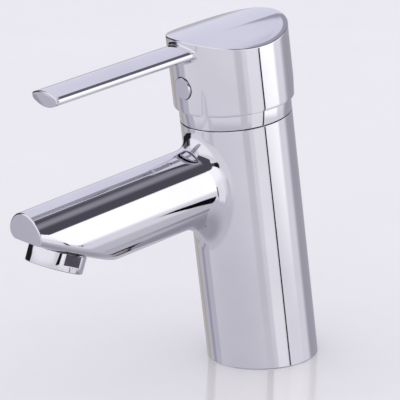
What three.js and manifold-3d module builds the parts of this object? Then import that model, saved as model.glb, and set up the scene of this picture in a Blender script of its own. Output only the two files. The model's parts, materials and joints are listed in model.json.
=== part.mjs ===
// A single-lever basin mixer: a leaning cast body with a long elliptical spout, a ceramic-disc cartridge,
// a cap handle with a flat lever, an aerator under the spout's tip and the clamp kit below the deck.
// Millimetres, +Z up. The origin is the centre of the base on the deck; the spout and lever point to -Y.
import * as THREE from "three";
import { mergeVertices } from "three/addons/utils/BufferGeometryUtils.js";
import Module from "manifold-3d";

const wasm = await Module();
wasm.setup();

// ---------------------------------------------------------------- driving dimensions

const GAP = 0.3; // between pieces that touch
const RUN = 0.15; // round pin in its hole
const LEAN = THREE.MathUtils.degToRad(5.5); // of the body's axis, towards the basin

// Heights below are measured along the leaning axis, from the centre of the base.
const BODY_R = 24;
const BODY_TOP = 110;
const BASE_HOLLOW_R = 19.2;
const BASE_HOLLOW_TOP = 60;
const SEAL_IN_R = 20.6;
const SEAL_OUT_R = 22.5;
const SEAL_DEPTH = 2;

const SPOUT_REACH = 113; // from the axis to the tip face
const SPOUT_A = 13.5; // half width of the elliptical section
const SPOUT_B = 17; // half height
const SPOUT_HEIGHT = 85.9; // centre of the section, carried back to the body's axis
const SPOUT_DROP = 0.025; // fall of the section's centre along the reach
const SPOUT_FILLET = 9;

const OUTLET_TILT = THREE.MathUtils.degToRad(27.3); // aerator's axis against the body's
const OUTLET_REACH = SPOUT_REACH - 11.4; // centre of the aerator's rim
const OUTLET_HEIGHT = 72.9;
const AERATOR_R = 12.25;
const AERATOR_H = 7.4;
const AERATOR_WALL = 1.25;
const AERATOR_LIP = 1.2;
const AERATOR_FLAT = 0.9; // depth of a spanner flat
const AERATOR_FLAT_LOW = 0.35; // share of the height below the flats
const NOZZLE_WALL = 1.9;
const NOZZLE_END = 0.6; // share of the aerator's height above the spout's thread
const FLANGE_H = 1.2;
const INSERT_WALL = 1.3;
const INSERT_LOW = 0.5; // outlet face above the aerator's rim
const INSERT_PLATE = 1.4;
const INSERT_TOP = 4; // above the aerator
const GRID_PITCH = 2.9;
const GRID_HOLE_R = 1;
const REGULATOR_R = 1.6;
const SCREEN_H = 0.5;
const WATERWAY_R = 5.5;

const CARTRIDGE_R = 17.5;
const CAVITY_DEPTH = 26;
const CARTRIDGE_WALL = 2;
const BASE_PLATE_H = 2.4;
const DISC_H = 3.3;
const PORT_RING_R = 0.4914 * CARTRIDGE_R; // centres of the three ports
const INLET_R = 0.1943 * CARTRIDGE_R;
const OUTLET_R = 0.24 * CARTRIDGE_R;
const INLET_ANGLE = THREE.MathUtils.degToRad(31); // of the inlets, behind the X axis
const HOSE_SOCKET_R = 4.6;
const HOSE_SOCKET_DEPTH = 11;
const NUT_GRIP = 6; // length of the retaining nut's thread in the body
const NUT_OVER_R = 2.6; // thread radius beyond the cartridge
const NUT_COLLAR = 3.2; // of the nut's collar above the body
const NUT_HEX_H = 2;
const NUT_HEX_WALL = 2.2;
const NECK_R = CARTRIDGE_R - 4.4;
const NECK_RISE = 3.6; // above the body
const CARRIER_R = CARTRIDGE_R - 7.8;
const PEG_R = 1.2; // of the pegs that stop the cartridge turning
const PEG_L = 3;
const PEG_X = 0.657 * CARTRIDGE_R;
const PEG_Y = -0.4 * CARTRIDGE_R;
const SEAL_BAND = 1.5;
const COUPLER_FLAT = 0.85; // share of the disc's radius
const DISC_POCKET = 0.6;
const RIB_W = 1.8;

const PIVOT_ABOVE_TOP = 1.5; // lever pivot above the body's top
const LIFT = THREE.MathUtils.degToRad(25); // whole travel of the lever
const STEM = 8; // square of the stem
const BLADE = 6; // stem inside the carrier
const STEM_TOP = 25; // stem's length above the pivot
const ARM = 14; // from the pivot down to the ball
const ARM_R = 1.54;
const BALL_R = 2.2;
const BALL_CLEAR = 0.7; // under the ball
const SQUARE_LOW = 4; // where the stem's square starts above the pivot
const SLOT_HALF = 5.7; // of the carrier's slot, along the swing
const PIN_R = 1.75;

const RING_H = 6.7;
const RING_DOME = 3;
const RING_MOUTH_R = 15.6;
const RING_EDGE = [1, 0.8]; // in and up from the ring's rim
const RING_SHOULDER = 2.6;
const RING_LIP = 1.8;
const CAP_GAP = 0.3; // ring to cap, along the axis
const SKIRT_CLEAR = 0.5; // inside of the cap's skirt, outside the body
const CAP_WALL = 1.4;
const CAP_RISE = 32.6; // bottom edge to the middle of the crown
const CROWN_R = 76;
const CEILING = 2.6;
const BOSS_R = 8.2;
const BOSS_LOW = 10.5; // above the pivot
const LUG_WALL = 2;
const PLUG_R = 4.75;
const PLUG_RISE = 11.6;
const PLUG_DEPTH = 3.6;
const SCREW_R = 2.4;
const SCREW_L = 10;
const KEY_AF = 2.5; // hex socket of the set screw
const KEY_DEPTH = 3;
const RELIEF_H = 8; // tapered back of the skirt
const RELIEF_IN = 0.7;

const LEVER_REACH = 95.2; // from the axis
const LEVER_W = 17.4;
const LEVER_SIDE = 2.4; // height of the flat sides
const LEVER_CROWN = 2.2; // rise of the top and bottom over the sides
const LEVER_RISE = 27.3; // centre of the section over the cap's bottom edge
const TENON_W = 11;
const TENON_H = 3.6;
const TENON_L = 8;

const DECK = 30; // thickness that the kit clamps
const STUD_R = 4;
const STUD_Y = 8;
const STUD_GRIP = 9;
const STUD_BELOW = 62;
const WASHER_R = 23;
const RUBBER_H = 3;
const PLATE_H = 2;
const HOSE_SLOT = 22;
const SLOT_TO_STUD = 7; // between the slot's end and the stud
const NUT_AF = 13;
const NUT_H = 8;

const ROUND = 40; // facets of a large circle
const SMALL = 14; // facets of a small one
const FAR = 200; // longer than any cut

// ---------------------------------------------------------------- worked-out dimensions

const floorH = BODY_TOP - CAVITY_DEPTH;
const cavityR = CARTRIDGE_R + GAP;
const nutR = CARTRIDGE_R + NUT_OVER_R;
const shoulderH = BODY_TOP - NUT_GRIP - GAP;
const chamberR = CARTRIDGE_R - CARTRIDGE_WALL;
const pivotH = BODY_TOP + PIVOT_ABOVE_TOP;
const neckTop = BODY_TOP + NECK_RISE;
const tilt = LIFT / 2; // the closed stem leans this far forward
const travel = 2 * ARM * Math.sin(tilt);
const discR = chamberR - travel / 2 - GAP;
const baseTop = floorH + GAP + BASE_PLATE_H;
const fixedTop = baseTop + GAP + DISC_H;
const movingTop = fixedTop + GAP + DISC_H;
const couplerLow = movingTop + GAP;
const ballMid = pivotH - ARM * Math.cos(tilt);
const couplerTop = ballMid + 1;
const flangeLow = couplerTop + 0.5;
const flangeTop = shoulderH - CARTRIDGE_WALL;
const skirtR = BODY_R + SKIRT_CLEAR;
const capR = skirtR + CAP_WALL;
const ringLow = BODY_TOP + GAP;
const ringTop = ringLow + RING_H - GAP;
const capLow = ringTop + CAP_GAP;
const plugH = capLow + PLUG_RISE;
const leverH = capLow + LEVER_RISE;
const nozzleR = AERATOR_R - AERATOR_WALL - GAP;
const boreR = nozzleR - NOZZLE_WALL;
const faceH = AERATOR_H + GAP; // spout's underside over the aerator's rim
const inlets = [1, -1].map((side) => [
  side * PORT_RING_R * Math.cos(INLET_ANGLE),
  PORT_RING_R * Math.sin(INLET_ANGLE),
]);
const outlet = [0, -PORT_RING_R];

// ---------------------------------------------------------------- shapes

const leaned = new THREE.Matrix4().makeRotationX(LEAN);

// The aerator's frame: the origin is the centre of its rim, +Z is up its own axis.
const outletFrame = new THREE.Matrix4()
  .makeTranslation(0, -OUTLET_REACH, OUTLET_HEIGHT)
  .multiply(new THREE.Matrix4().makeRotationX(-OUTLET_TILT));

// The closed stem's frame: the origin is the lever's pivot, +Z is up the stem.
const stemFrame = new THREE.Matrix4()
  .makeTranslation(0, 0, pivotH)
  .multiply(new THREE.Matrix4().makeRotationX(tilt));

function solid(geometry, ...frames) {
  const g = geometry.index ? geometry.toNonIndexed() : geometry.clone();
  g.deleteAttribute("normal");
  g.deleteAttribute("uv");
  frames.forEach((m) => g.applyMatrix4(m));
  const merged = mergeVertices(g, 1e-4);
  return new wasm.Manifold(
    new wasm.Mesh({
      numProp: 3,
      vertProperties: merged.attributes.position.array,
      triVerts: new Uint32Array(merged.index.array),
    }),
  );
}

const join = (first, ...rest) => rest.reduce((a, b) => a.add(b), first);
const cut = (first, ...rest) => rest.reduce((a, b) => a.subtract(b), first);

// A closed profile of [radius, height] points turned about Z.
function turned(profile, facets = ROUND) {
  const points = [...profile, profile[0]].map(([r, z]) => new THREE.Vector2(r, z));
  return new THREE.LatheGeometry(points, facets).rotateX(Math.PI / 2);
}

function tube(inner, outer, low, high, facets = ROUND) {
  const section = [[inner, low], [outer, low], [outer, high], [inner, high]];
  return turned(section, facets);
}

function rod(r, low, high, facets = SMALL) {
  const g = new THREE.CylinderGeometry(r, r, high - low, facets);
  return g.rotateX(Math.PI / 2).translate(0, 0, (low + high) / 2);
}

function block(x, y, z) {
  const size = [x, y, z].map(([low, high]) => high - low);
  const mid = [x, y, z].map(([low, high]) => (low + high) / 2);
  return new THREE.BoxGeometry(...size).translate(...mid);
}

function plate(shape, low, high, facets = SMALL) {
  const g = new THREE.ExtrudeGeometry(shape, {
    depth: high - low,
    bevelEnabled: false,
    curveSegments: facets,
  });
  return g.translate(0, 0, low);
}

// A rod between two points of one frame.
function rodBetween(r, from, to, facets = SMALL) {
  const a = new THREE.Vector3(...from);
  const b = new THREE.Vector3(...to);
  const g = rod(r, 0, a.distanceTo(b), facets);
  const turn = new THREE.Quaternion().setFromUnitVectors(
    new THREE.Vector3(0, 0, 1),
    b.clone().sub(a).normalize(),
  );
  return g.applyQuaternion(turn).translate(a.x, a.y, a.z);
}

// A closed skin over rings that all have the same number of points.
function loft(rings) {
  const n = rings[0].length;
  const points = rings.flat();
  const faces = [];
  rings.slice(1).forEach((_, i) => {
    for (let j = 0; j < n; j++) {
      const a = i * n + j;
      const b = i * n + ((j + 1) % n);
      faces.push(a, b, b + n, a, b + n, a + n);
    }
  });
  for (const [start, flip] of [[0, true], [(rings.length - 1) * n, false]]) {
    for (let j = 1; j < n - 1; j++) {
      const [b, c] = flip ? [start + j + 1, start + j] : [start + j, start + j + 1];
      faces.push(start, b, c);
    }
  }
  const g = new THREE.BufferGeometry().setFromPoints(points);
  return g.setIndex(faces);
}

function hexagon(acrossFlats) {
  const r = acrossFlats / Math.sqrt(3);
  const corners = Array.from({ length: 6 }, (_, i) => {
    const a = (i * Math.PI) / 3;
    return new THREE.Vector2(r * Math.cos(a), r * Math.sin(a));
  });
  return new THREE.Shape(corners);
}

// ---------------------------------------------------------------- materials

const finish = (color, roughness, metalness) =>
  new THREE.MeshStandardMaterial({ color, roughness, metalness });
const chrome = () => finish(0xd9d9de, 0.06, 1);
const brass = () => finish(0xc9a558, 0.35, 1);
const steel = () => finish(0xb9bbbe, 0.35, 1);
const rubber = () => finish(0x222326, 0.8, 0);
const plastic = () => finish(0xe6e5df, 0.45, 0);
const ceramic = () => finish(0xf2efe8, 0.2, 0);

function piece(name, shape, material) {
  const data = shape.getMesh();
  const g = new THREE.BufferGeometry();
  g.setAttribute("position", new THREE.BufferAttribute(data.vertProperties, 3));
  g.setIndex(new THREE.BufferAttribute(data.triVerts, 1));
  g.computeVertexNormals();
  const mesh = new THREE.Mesh(g, material);
  mesh.name = name;
  return mesh;
}

// ---------------------------------------------------------------- body casting

// The spout's section at a distance out from the axis, swelling into the body with a fillet.
function spoutRing(out) {
  const near = Math.max(out - BODY_R, SPOUT_FILLET / 4);
  const inFillet = Math.max(SPOUT_FILLET - near, 0);
  const swell = SPOUT_FILLET - Math.sqrt(SPOUT_FILLET ** 2 - inFillet ** 2);
  const mid = SPOUT_HEIGHT - SPOUT_DROP * out;
  return Array.from({ length: ROUND }, (_, i) => {
    const t = (2 * Math.PI * i) / ROUND;
    const x = (SPOUT_A + swell) * Math.cos(t);
    return new THREE.Vector3(x, -out, mid + (SPOUT_B + swell) * Math.sin(t));
  });
}

function spoutSkin() {
  const root = [10, 0.25, 0.45, 0.7, 1].map((f, i) => (i ? BODY_R + f * SPOUT_FILLET : f));
  return loft([...root, SPOUT_REACH].map(spoutRing));
}

function waterways() {
  const start = [0, outlet[1] / 2, floorH - OUTLET_R - WATERWAY_R];
  const high = 2 * faceH + 1;
  const end = new THREE.Vector3(0, 0, high).applyMatrix4(outletFrame);
  const ports = inlets.map(([x, y]) =>
    join(
      solid(rod(INLET_R, BASE_HOLLOW_TOP - 1, floorH + 1).translate(x, y, 0), leaned),
      solid(
        rod(HOSE_SOCKET_R, BASE_HOLLOW_TOP - 1, BASE_HOLLOW_TOP + HOSE_SOCKET_DEPTH)
          .translate(x, y, 0),
        leaned,
      ),
    ),
  );
  return [
    ...ports,
    solid(rod(OUTLET_R, start[2], floorH + 1).translate(outlet[0], outlet[1], 0), leaned),
    solid(rodBetween(WATERWAY_R, start, end.toArray()), leaned),
    solid(rod(boreR, 0, high, ROUND), outletFrame, leaned),
  ];
}

function bodyCasting() {
  const column = solid(rod(BODY_R, -BODY_R / 2, BODY_TOP, ROUND), leaned);
  const underside = block([-FAR, FAR], [-FAR, FAR], [faceH - FAR, faceH]);
  const spout = cut(solid(spoutSkin(), leaned), solid(underside, outletFrame, leaned));
  const nozzle = solid(rod(nozzleR, AERATOR_H * NOZZLE_END, faceH + 3, ROUND), outletFrame, leaned);
  const hollows = [
    solid(rod(BASE_HOLLOW_R, -BODY_R, BASE_HOLLOW_TOP, ROUND), leaned),
    solid(rod(cavityR, floorH, BODY_TOP + 1, ROUND), leaned),
    solid(rod(nutR + GAP, shoulderH, BODY_TOP + 1, ROUND), leaned),
    solid(tube(SEAL_IN_R - GAP, SEAL_OUT_R + GAP, -BODY_R, SEAL_DEPTH), leaned),
    solid(rod(STUD_R + GAP, 0, BASE_HOLLOW_TOP + STUD_GRIP).translate(0, STUD_Y, 0)),
    ...pegs.map(([x, y]) =>
      solid(rod(PEG_R + GAP, floorH - PEG_L, floorH + 1).translate(x, y, 0), leaned),
    ),
    ...waterways(),
  ];
  const below = solid(block([-FAR, FAR], [-FAR, FAR], [-FAR, 0]));
  return cut(join(column, spout, nozzle), ...hollows, below);
}

// ---------------------------------------------------------------- cartridge

const pegs = [1, -1].map((side) => [side * PEG_X, PEG_Y]);

const ports = [
  ["hot_inlet_seal", inlets[1], INLET_R],
  ["cold_inlet_seal", inlets[0], INLET_R],
  ["outlet_seal", outlet, OUTLET_R],
];

function portHoles(low, high) {
  return ports.map(([, [x, y], r]) => solid(rod(r, low, high).translate(x, y, 0)));
}

function cartridgeBase() {
  const low = floorH + GAP;
  const recesses = ports.map(([, [x, y], r]) =>
    solid(rod(r + SEAL_BAND + GAP, low - 1, low + SEAL_BAND).translate(x, y, 0)),
  );
  const feet = pegs.map(([x, y]) => solid(rod(PEG_R, low - PEG_L + GAP, low + 1).translate(x, y, 0)));
  const disc = solid(rod(CARTRIDGE_R, low, baseTop, ROUND));
  return join(cut(disc, ...recesses, ...portHoles(low - 1, baseTop + 1)), ...feet);
}

function portSeal([x, y], r) {
  const low = floorH + GAP / 2;
  return solid(tube(r + 0.1, r + SEAL_BAND, low, low + SEAL_BAND - 0.2, SMALL).translate(x, y, 0));
}

function fixedDisc() {
  const low = baseTop + GAP;
  return cut(solid(rod(chamberR - GAP, low, fixedTop, ROUND)), ...portHoles(low - 1, fixedTop + 1));
}

function housing() {
  const outside = [[0, baseTop + GAP], [CARTRIDGE_R, baseTop + GAP], [CARTRIDGE_R, shoulderH],
    [NECK_R, shoulderH], [NECK_R, neckTop], [0, neckTop]];
  const chamber = solid(rod(chamberR, 0, flangeTop + GAP, ROUND));
  const bore = solid(rod(CARRIER_R + GAP, 0, neckTop + 1, ROUND));
  return cut(solid(turned(outside)), chamber, bore);
}

function retainingNut() {
  const low = shoulderH + GAP;
  const collarTop = low + NUT_GRIP + NUT_COLLAR;
  const collar = solid(rod(nutR, low, collarTop, ROUND));
  const hexAcross = 2 * (NECK_R + NUT_HEX_WALL);
  const hex = solid(plate(hexagon(hexAcross), collarTop - 1, collarTop + NUT_HEX_H));
  return cut(join(collar, hex), solid(rod(NECK_R + GAP, 0, FAR, ROUND)));
}

const restShift = travel / 2; // of the disc, behind the axis when the lever is down

function movingDisc() {
  const low = fixedTop + GAP;
  const disc = solid(rod(discR, low, movingTop, ROUND));
  const half = discR * DISC_POCKET;
  const pocket = solid(block([-half, half], [-half, 0], [low - 1, low + DISC_H / 2]));
  return cut(disc, pocket);
}

function discCoupler() {
  const flat = discR * COUPLER_FLAT;
  const puck = solid(rod(discR, couplerLow, couplerTop, ROUND));
  const pocket = solid(rod(BALL_R + GAP, ballMid - BALL_R - BALL_CLEAR, couplerTop + 1));
  const sides = [1, -1].map((side) => {
    const x = [side * flat, side * FAR].sort((a, b) => a - b);
    return solid(block(x, [-FAR, FAR], [couplerLow - 1, couplerTop + 1]));
  });
  return cut(puck, pocket, ...sides);
}

function carrier() {
  const flange = solid(rod(chamberR - GAP, flangeLow, flangeTop, ROUND));
  const shaft = solid(rod(CARRIER_R, flangeLow, neckTop + GAP, ROUND));
  const flat = discR * COUPLER_FLAT + GAP;
  const half = discR * DISC_POCKET;
  const ribs = [1, -1].map((side) => {
    const x = [side * flat, side * (flat + RIB_W)].sort((a, b) => a - b);
    return solid(block(x, [-half, half], [couplerLow + 2 * GAP, flangeLow + 1]));
  });
  const slot = solid(
    block([-BLADE / 2 - GAP, BLADE / 2 + GAP], [-SLOT_HALF, SLOT_HALF], [0, FAR]),
  );
  const pinHole = solid(rod(PIN_R + RUN, -FAR, FAR).rotateY(Math.PI / 2).translate(0, 0, pivotH));
  return cut(join(flange, shaft, ...ribs), slot, pinHole);
}

function pivotPin() {
  const half = CARRIER_R - 0.5;
  return solid(rod(PIN_R, -half, half).rotateY(Math.PI / 2).translate(0, 0, pivotH));
}

function stem() {
  const half = STEM / 2;
  const blade = BLADE / 2;
  const square = solid(block([-half, half], [-half, half], [SQUARE_LOW, STEM_TOP]), stemFrame);
  const flat = solid(block([-blade, blade], [-blade, blade], [-blade - 1, SQUARE_LOW + 1]), stemFrame);
  const arm = solid(rod(ARM_R, -ARM, 0), stemFrame);
  const sphere = new THREE.SphereGeometry(BALL_R, SMALL, SMALL / 2);
  const ball = solid(sphere.translate(0, 0, -ARM), stemFrame);
  const hole = solid(rod(PIN_R + RUN, -FAR, FAR).rotateY(Math.PI / 2), stemFrame);
  return cut(join(square, flat, arm, ball), hole);
}

// ---------------------------------------------------------------- trim ring

function trimRing() {
  const crown = ringTop + RING_DOME;
  const inner = nutR + GAP;
  const [edgeIn, edgeUp] = RING_EDGE;
  const profile = [[inner, ringLow], [BODY_R, ringLow], [BODY_R, ringTop],
    [BODY_R - edgeIn, ringTop + edgeUp], [BODY_R - RING_SHOULDER, crown], [RING_MOUTH_R, crown],
    [RING_MOUTH_R, crown - RING_LIP], [inner, ringTop - edgeUp]];
  return solid(turned(profile));
}

// ---------------------------------------------------------------- handle

// The crown is part of a large cylinder along the spout, so the cap is highest over its middle.
function crownedRod(r, low, drop) {
  const top = capLow + CAP_RISE - drop;
  const column = solid(rod(r, low, top + 1, ROUND));
  const lid = solid(
    rod(CROWN_R, -FAR, FAR, 3 * ROUND).rotateX(Math.PI / 2).translate(0, 0, top - CROWN_R),
  );
  return column.intersect(lid);
}

function leverBar(grow, from, to) {
  const half = LEVER_W / 2 + grow;
  const side = LEVER_SIDE / 2 + grow;
  const shape = new THREE.Shape();
  shape.moveTo(-half, -side);
  shape.quadraticCurveTo(0, -side - 2 * LEVER_CROWN, half, -side);
  shape.lineTo(half, side);
  shape.quadraticCurveTo(0, side + 2 * LEVER_CROWN, -half, side);
  shape.closePath();
  return plate(shape, from, to, 10).rotateX(Math.PI / 2).translate(0, 0, leverH);
}

function tenon(grow) {
  const x = TENON_W / 2 + grow;
  const z = TENON_H / 2 + grow;
  const back = -capR + 1 + TENON_L + grow;
  return solid(block([-x, x], [-capR - 1, back], [leverH - z, leverH + z]));
}

// The tapered back of the skirt: a thin wedge of the wall is turned away.
function relief() {
  const rim = skirtR + RELIEF_IN;
  const profile = [[rim, capLow], [rim, capLow - 1], [capR + 2, capLow - 1],
    [capR + 2, capLow + RELIEF_H], [capR, capLow + RELIEF_H]];
  const behind = solid(block([-BODY_R / 2, BODY_R / 2], [0, FAR], [0, FAR]));
  return solid(turned(profile)).intersect(behind);
}

function handleCap() {
  const shell = cut(crownedRod(capR, capLow, 0), crownedRod(skirtR, capLow - 1, CEILING));
  const inside = crownedRod(skirtR + CAP_WALL / 2, capLow, CEILING / 2);
  const boss = solid(rod(BOSS_R, BOSS_LOW, STEM_TOP * 2), stemFrame);
  const screwTube = solid(rodBetween(PLUG_R + CAP_WALL, [0, 0, plugH], [0, -capR, plugH]));
  const lug = solid(
    block(
      [-TENON_W / 2 - LUG_WALL, TENON_W / 2 + LUG_WALL],
      [-capR, -capR + TENON_L + 1 + LUG_WALL],
      [leverH - TENON_H / 2 - LUG_WALL, capLow + CAP_RISE],
    ),
  );
  const bosses = join(boss, screwTube, lug).intersect(inside);
  const half = STEM / 2 + GAP;
  const socket = solid(block([-half, half], [-half, half], [0, STEM_TOP + GAP]), stemFrame);
  const plugHole = rodBetween(PLUG_R + GAP, [0, -FAR, plugH], [0, -capR + PLUG_DEPTH + GAP, plugH]);
  const screwHole = rodBetween(SCREW_R + GAP, [0, -FAR, plugH], [0, 0, plugH]);
  return cut(join(shell, bosses), socket, solid(plugHole), solid(screwHole), tenon(GAP), relief());
}

function lever() {
  const bar = solid(leverBar(0, BODY_R / 2, LEVER_REACH));
  const cap = solid(rod(capR + GAP, 0, FAR, ROUND));
  return join(cut(bar, cap), tenon(0));
}

function plug() {
  const face = Math.sqrt(capR ** 2 - PLUG_R ** 2);
  return solid(rodBetween(PLUG_R, [0, -face, plugH], [0, -capR + PLUG_DEPTH, plugH]));
}

function setScrew() {
  const rise = (plugH + SCREW_R - pivotH) * Math.tan(tilt);
  const tip = -rise - STEM / 2 / Math.cos(tilt) - GAP;
  const shank = solid(rodBetween(SCREW_R, [0, tip, plugH], [0, tip - SCREW_L, plugH]));
  const key = plate(hexagon(KEY_AF), 0, KEY_DEPTH).rotateX(Math.PI / 2);
  return cut(shank, solid(key.translate(0, tip - SCREW_L + KEY_DEPTH, plugH)));
}

// ---------------------------------------------------------------- aerator, in its own frame

const lipGap = AERATOR_LIP + GAP;

function aeratorHousing() {
  const inner = AERATOR_R - AERATOR_WALL;
  const ring = solid(tube(inner, AERATOR_R, 0, AERATOR_H), outletFrame);
  const lip = solid(tube(boreR + 2 * GAP, inner + GAP, 0, AERATOR_LIP), outletFrame);
  const flats = [1, -1].map((side) => {
    const x = [side * (AERATOR_R - AERATOR_FLAT), side * FAR].sort((a, b) => a - b);
    return solid(block(x, [-FAR, FAR], [AERATOR_H * AERATOR_FLAT_LOW, FAR]), outletFrame);
  });
  return cut(join(ring, lip), ...flats);
}

function gridHoles() {
  const hole = rod(GRID_HOLE_R, -1, FAR / 50, 6);
  const holes = [];
  for (let i = -2; i <= 2; i++) {
    for (let j = -2; j <= 2; j++) {
      const x = GRID_PITCH * (i + j / 2);
      const y = GRID_PITCH * j * Math.sin(Math.PI / 3);
      if (Math.hypot(x, y) > boreR - 2 * GRID_HOLE_R) continue;
      holes.push(solid(hole.clone().translate(x, y, 0), outletFrame));
    }
  }
  return holes;
}

function aeratorInsert() {
  const flangeTopAt = lipGap + FLANGE_H;
  const r = boreR - GAP;
  const top = AERATOR_H + INSERT_TOP;
  const floor = INSERT_LOW + INSERT_PLATE;
  const profile = [[0, INSERT_LOW], [r, INSERT_LOW], [r, lipGap], [nozzleR, lipGap],
    [nozzleR, flangeTopAt], [r, flangeTopAt], [r, top], [r - INSERT_WALL, top],
    [r - INSERT_WALL, floor], [0, floor]];
  return cut(solid(turned(profile), outletFrame), ...gridHoles());
}

function aeratorGasket() {
  const low = lipGap + FLANGE_H + GAP;
  return solid(tube(boreR, nozzleR, low, AERATOR_H * NOZZLE_END - GAP), outletFrame);
}

const insertR = boreR - GAP - INSERT_WALL - GAP;
const regulatorLow = AERATOR_H + 1;
const regulatorTop = AERATOR_H + INSERT_TOP - 1;
const meshScreen = (low) => solid(rod(insertR, low, low + SCREEN_H, ROUND), outletFrame);
const regulator = () => solid(tube(REGULATOR_R, insertR, regulatorLow, regulatorTop), outletFrame);

// ---------------------------------------------------------------- clamp kit, upright below the deck

function horseshoe(top, thickness) {
  const disc = solid(rod(WASHER_R, top - thickness, top, ROUND));
  const slot = solid(block([-HOSE_SLOT / 2, HOSE_SLOT / 2], [-FAR, STUD_Y - SLOT_TO_STUD], [-FAR, FAR]));
  const hole = solid(rod(STUD_R + GAP, -FAR, FAR).translate(0, STUD_Y, 0));
  return cut(disc, slot, hole);
}

function clampNut(top) {
  const hex = solid(plate(hexagon(NUT_AF), top - NUT_H, top).translate(0, STUD_Y, 0));
  return cut(hex, solid(rod(STUD_R + RUN, -FAR, FAR).translate(0, STUD_Y, 0)));
}

function stud() {
  const top = BASE_HOLLOW_TOP + STUD_GRIP - GAP;
  return solid(rod(STUD_R, -STUD_BELOW, top).translate(0, STUD_Y, 0));
}

function baseSeal() {
  const ring = solid(tube(SEAL_IN_R, SEAL_OUT_R, 0, SEAL_DEPTH - GAP), leaned);
  return cut(ring, solid(block([-FAR, FAR], [-FAR, FAR], [-FAR, RUN / 3])));
}

// ---------------------------------------------------------------- assembly

const faucet = new THREE.Group();
const plateTop = -DECK - RUBBER_H - GAP;
faucet.add(
  piece("body_casting", bodyCasting(), chrome()),
  piece("base_seal", baseSeal(), rubber()),
  piece("mounting_stud", stud(), steel()),
  piece("rubber_horseshoe_washer", horseshoe(-DECK, RUBBER_H), rubber()),
  piece("steel_horseshoe_washer", horseshoe(plateTop, PLATE_H), steel()),
  piece("clamp_nut", clampNut(plateTop - PLATE_H - GAP), brass()),
);

const leaning = new THREE.Group();
leaning.rotation.x = LEAN;
faucet.add(leaning);
leaning.add(
  piece("cartridge_base", cartridgeBase(), plastic()),
  ...ports.map(([name, at, r]) => piece(name, portSeal(at, r), rubber())),
  piece("fixed_ceramic_disc", fixedDisc(), ceramic()),
  piece("cartridge_housing", housing(), plastic()),
  piece("cartridge_nut", retainingNut(), brass()),
  piece("trim_ring", trimRing(), chrome()),
  piece("stem_carrier", carrier(), plastic()),
  piece("pivot_pin", pivotPin(), steel()),
  piece("lever_stem", stem(), brass()),
  piece("handle_cap", handleCap(), chrome()),
  piece("lever_bar", lever(), chrome()),
  piece("indicator_plug", plug(), chrome()),
  piece("set_screw", setScrew(), steel()),
  piece("aerator_housing", aeratorHousing(), chrome()),
  piece("aerator_gasket", aeratorGasket(), rubber()),
  piece("aerator_insert", aeratorInsert(), plastic()),
  piece("flow_regulator", regulator(), plastic()),
  piece("aerator_screen", meshScreen(AERATOR_H - 1), steel()),
  piece("inlet_screen", meshScreen(regulatorTop + GAP), steel()),
);

const sliding = new THREE.Group();
sliding.position.y = restShift;
leaning.add(sliding);
sliding.add(
  piece("moving_ceramic_disc", movingDisc(), ceramic()),
  piece("disc_coupler", discCoupler(), plastic()),
);

export default faucet;
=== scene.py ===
# %% [markdown]
# # A single-lever basin mixer
# A chromed brass tap: a leaning round body, a long oval spout that grows out of it, a cap handle
# with a flat lever, and an aerator screwed in under the spout's tip. The CAD model fixes every size
# and every joint. This script makes the smooth outer skins that the CAD solids only outline,
# gives each piece its finish, and lights it like a piece of polished metal in a white studio tent.

# %% Load the frame
import json
import math
import bpy
import bmesh
import numpy as np
from mathutils import Matrix


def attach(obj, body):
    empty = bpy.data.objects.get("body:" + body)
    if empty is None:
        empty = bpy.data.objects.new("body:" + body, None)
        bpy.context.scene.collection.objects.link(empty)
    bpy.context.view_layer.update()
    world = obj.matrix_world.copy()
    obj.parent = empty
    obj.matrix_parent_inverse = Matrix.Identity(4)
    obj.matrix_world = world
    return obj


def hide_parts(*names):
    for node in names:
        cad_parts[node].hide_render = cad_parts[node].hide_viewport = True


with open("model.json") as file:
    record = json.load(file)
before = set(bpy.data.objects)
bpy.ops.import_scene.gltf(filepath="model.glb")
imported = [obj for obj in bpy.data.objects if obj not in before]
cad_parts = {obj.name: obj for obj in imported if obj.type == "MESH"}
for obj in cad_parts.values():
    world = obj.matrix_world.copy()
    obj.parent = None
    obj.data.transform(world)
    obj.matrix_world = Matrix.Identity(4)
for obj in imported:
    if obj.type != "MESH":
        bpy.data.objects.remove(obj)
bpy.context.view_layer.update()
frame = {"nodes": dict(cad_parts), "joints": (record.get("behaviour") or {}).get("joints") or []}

# %% [markdown]
# ## The tap's own axes
# Everything above the deck is square to an axis that leans 5.5 degrees towards the basin. It is far
# easier to think in the tap's own axes (x to the side, y to the back, z up the leaning axis) and
# turn the finished points once, so the helpers below take millimetres in those axes.
# The lean is read from the handle's joint, so the skins always agree with the CAD.

# %% Axes and places
MM = 0.001
turn = next(joint for joint in frame["joints"] if joint["name"] == "handle_turn")
UP = np.array(turn["axis"])
BACK = np.array([0.0, UP[2], -UP[1]])
LEANING = np.array([[1.0, 0.0, 0.0], BACK, UP])
LEAN = math.atan2(-UP[1], UP[2])

# the aerator's seat under the spout's tip, and the way its bore points
OUTLET_TILT = math.radians(27.3)
OUTLET_UP = np.array([0.0, math.sin(OUTLET_TILT), math.cos(OUTLET_TILT)])
OUTLET_BACK = np.array([0.0, math.cos(OUTLET_TILT), -math.sin(OUTLET_TILT)])
OUTLET = np.array([0.0, -101.6, 72.9])
OUTLET_AXES = np.array([[1.0, 0.0, 0.0], OUTLET_BACK, OUTLET_UP])


def from_outlet(points):
    """Points in the aerator's own axes (z up its bore) as points in the tap's axes."""
    return np.asarray(points, float) @ OUTLET_AXES + OUTLET


print("lean", round(math.degrees(LEAN), 2), "degrees")

# %% [markdown]
# ## Camera
# A long lens from the front right, a little above the spout, so that upright lines stay nearly
# upright. A telephoto view keeps the lever and the base at the same scale, as in a catalogue picture.

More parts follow.
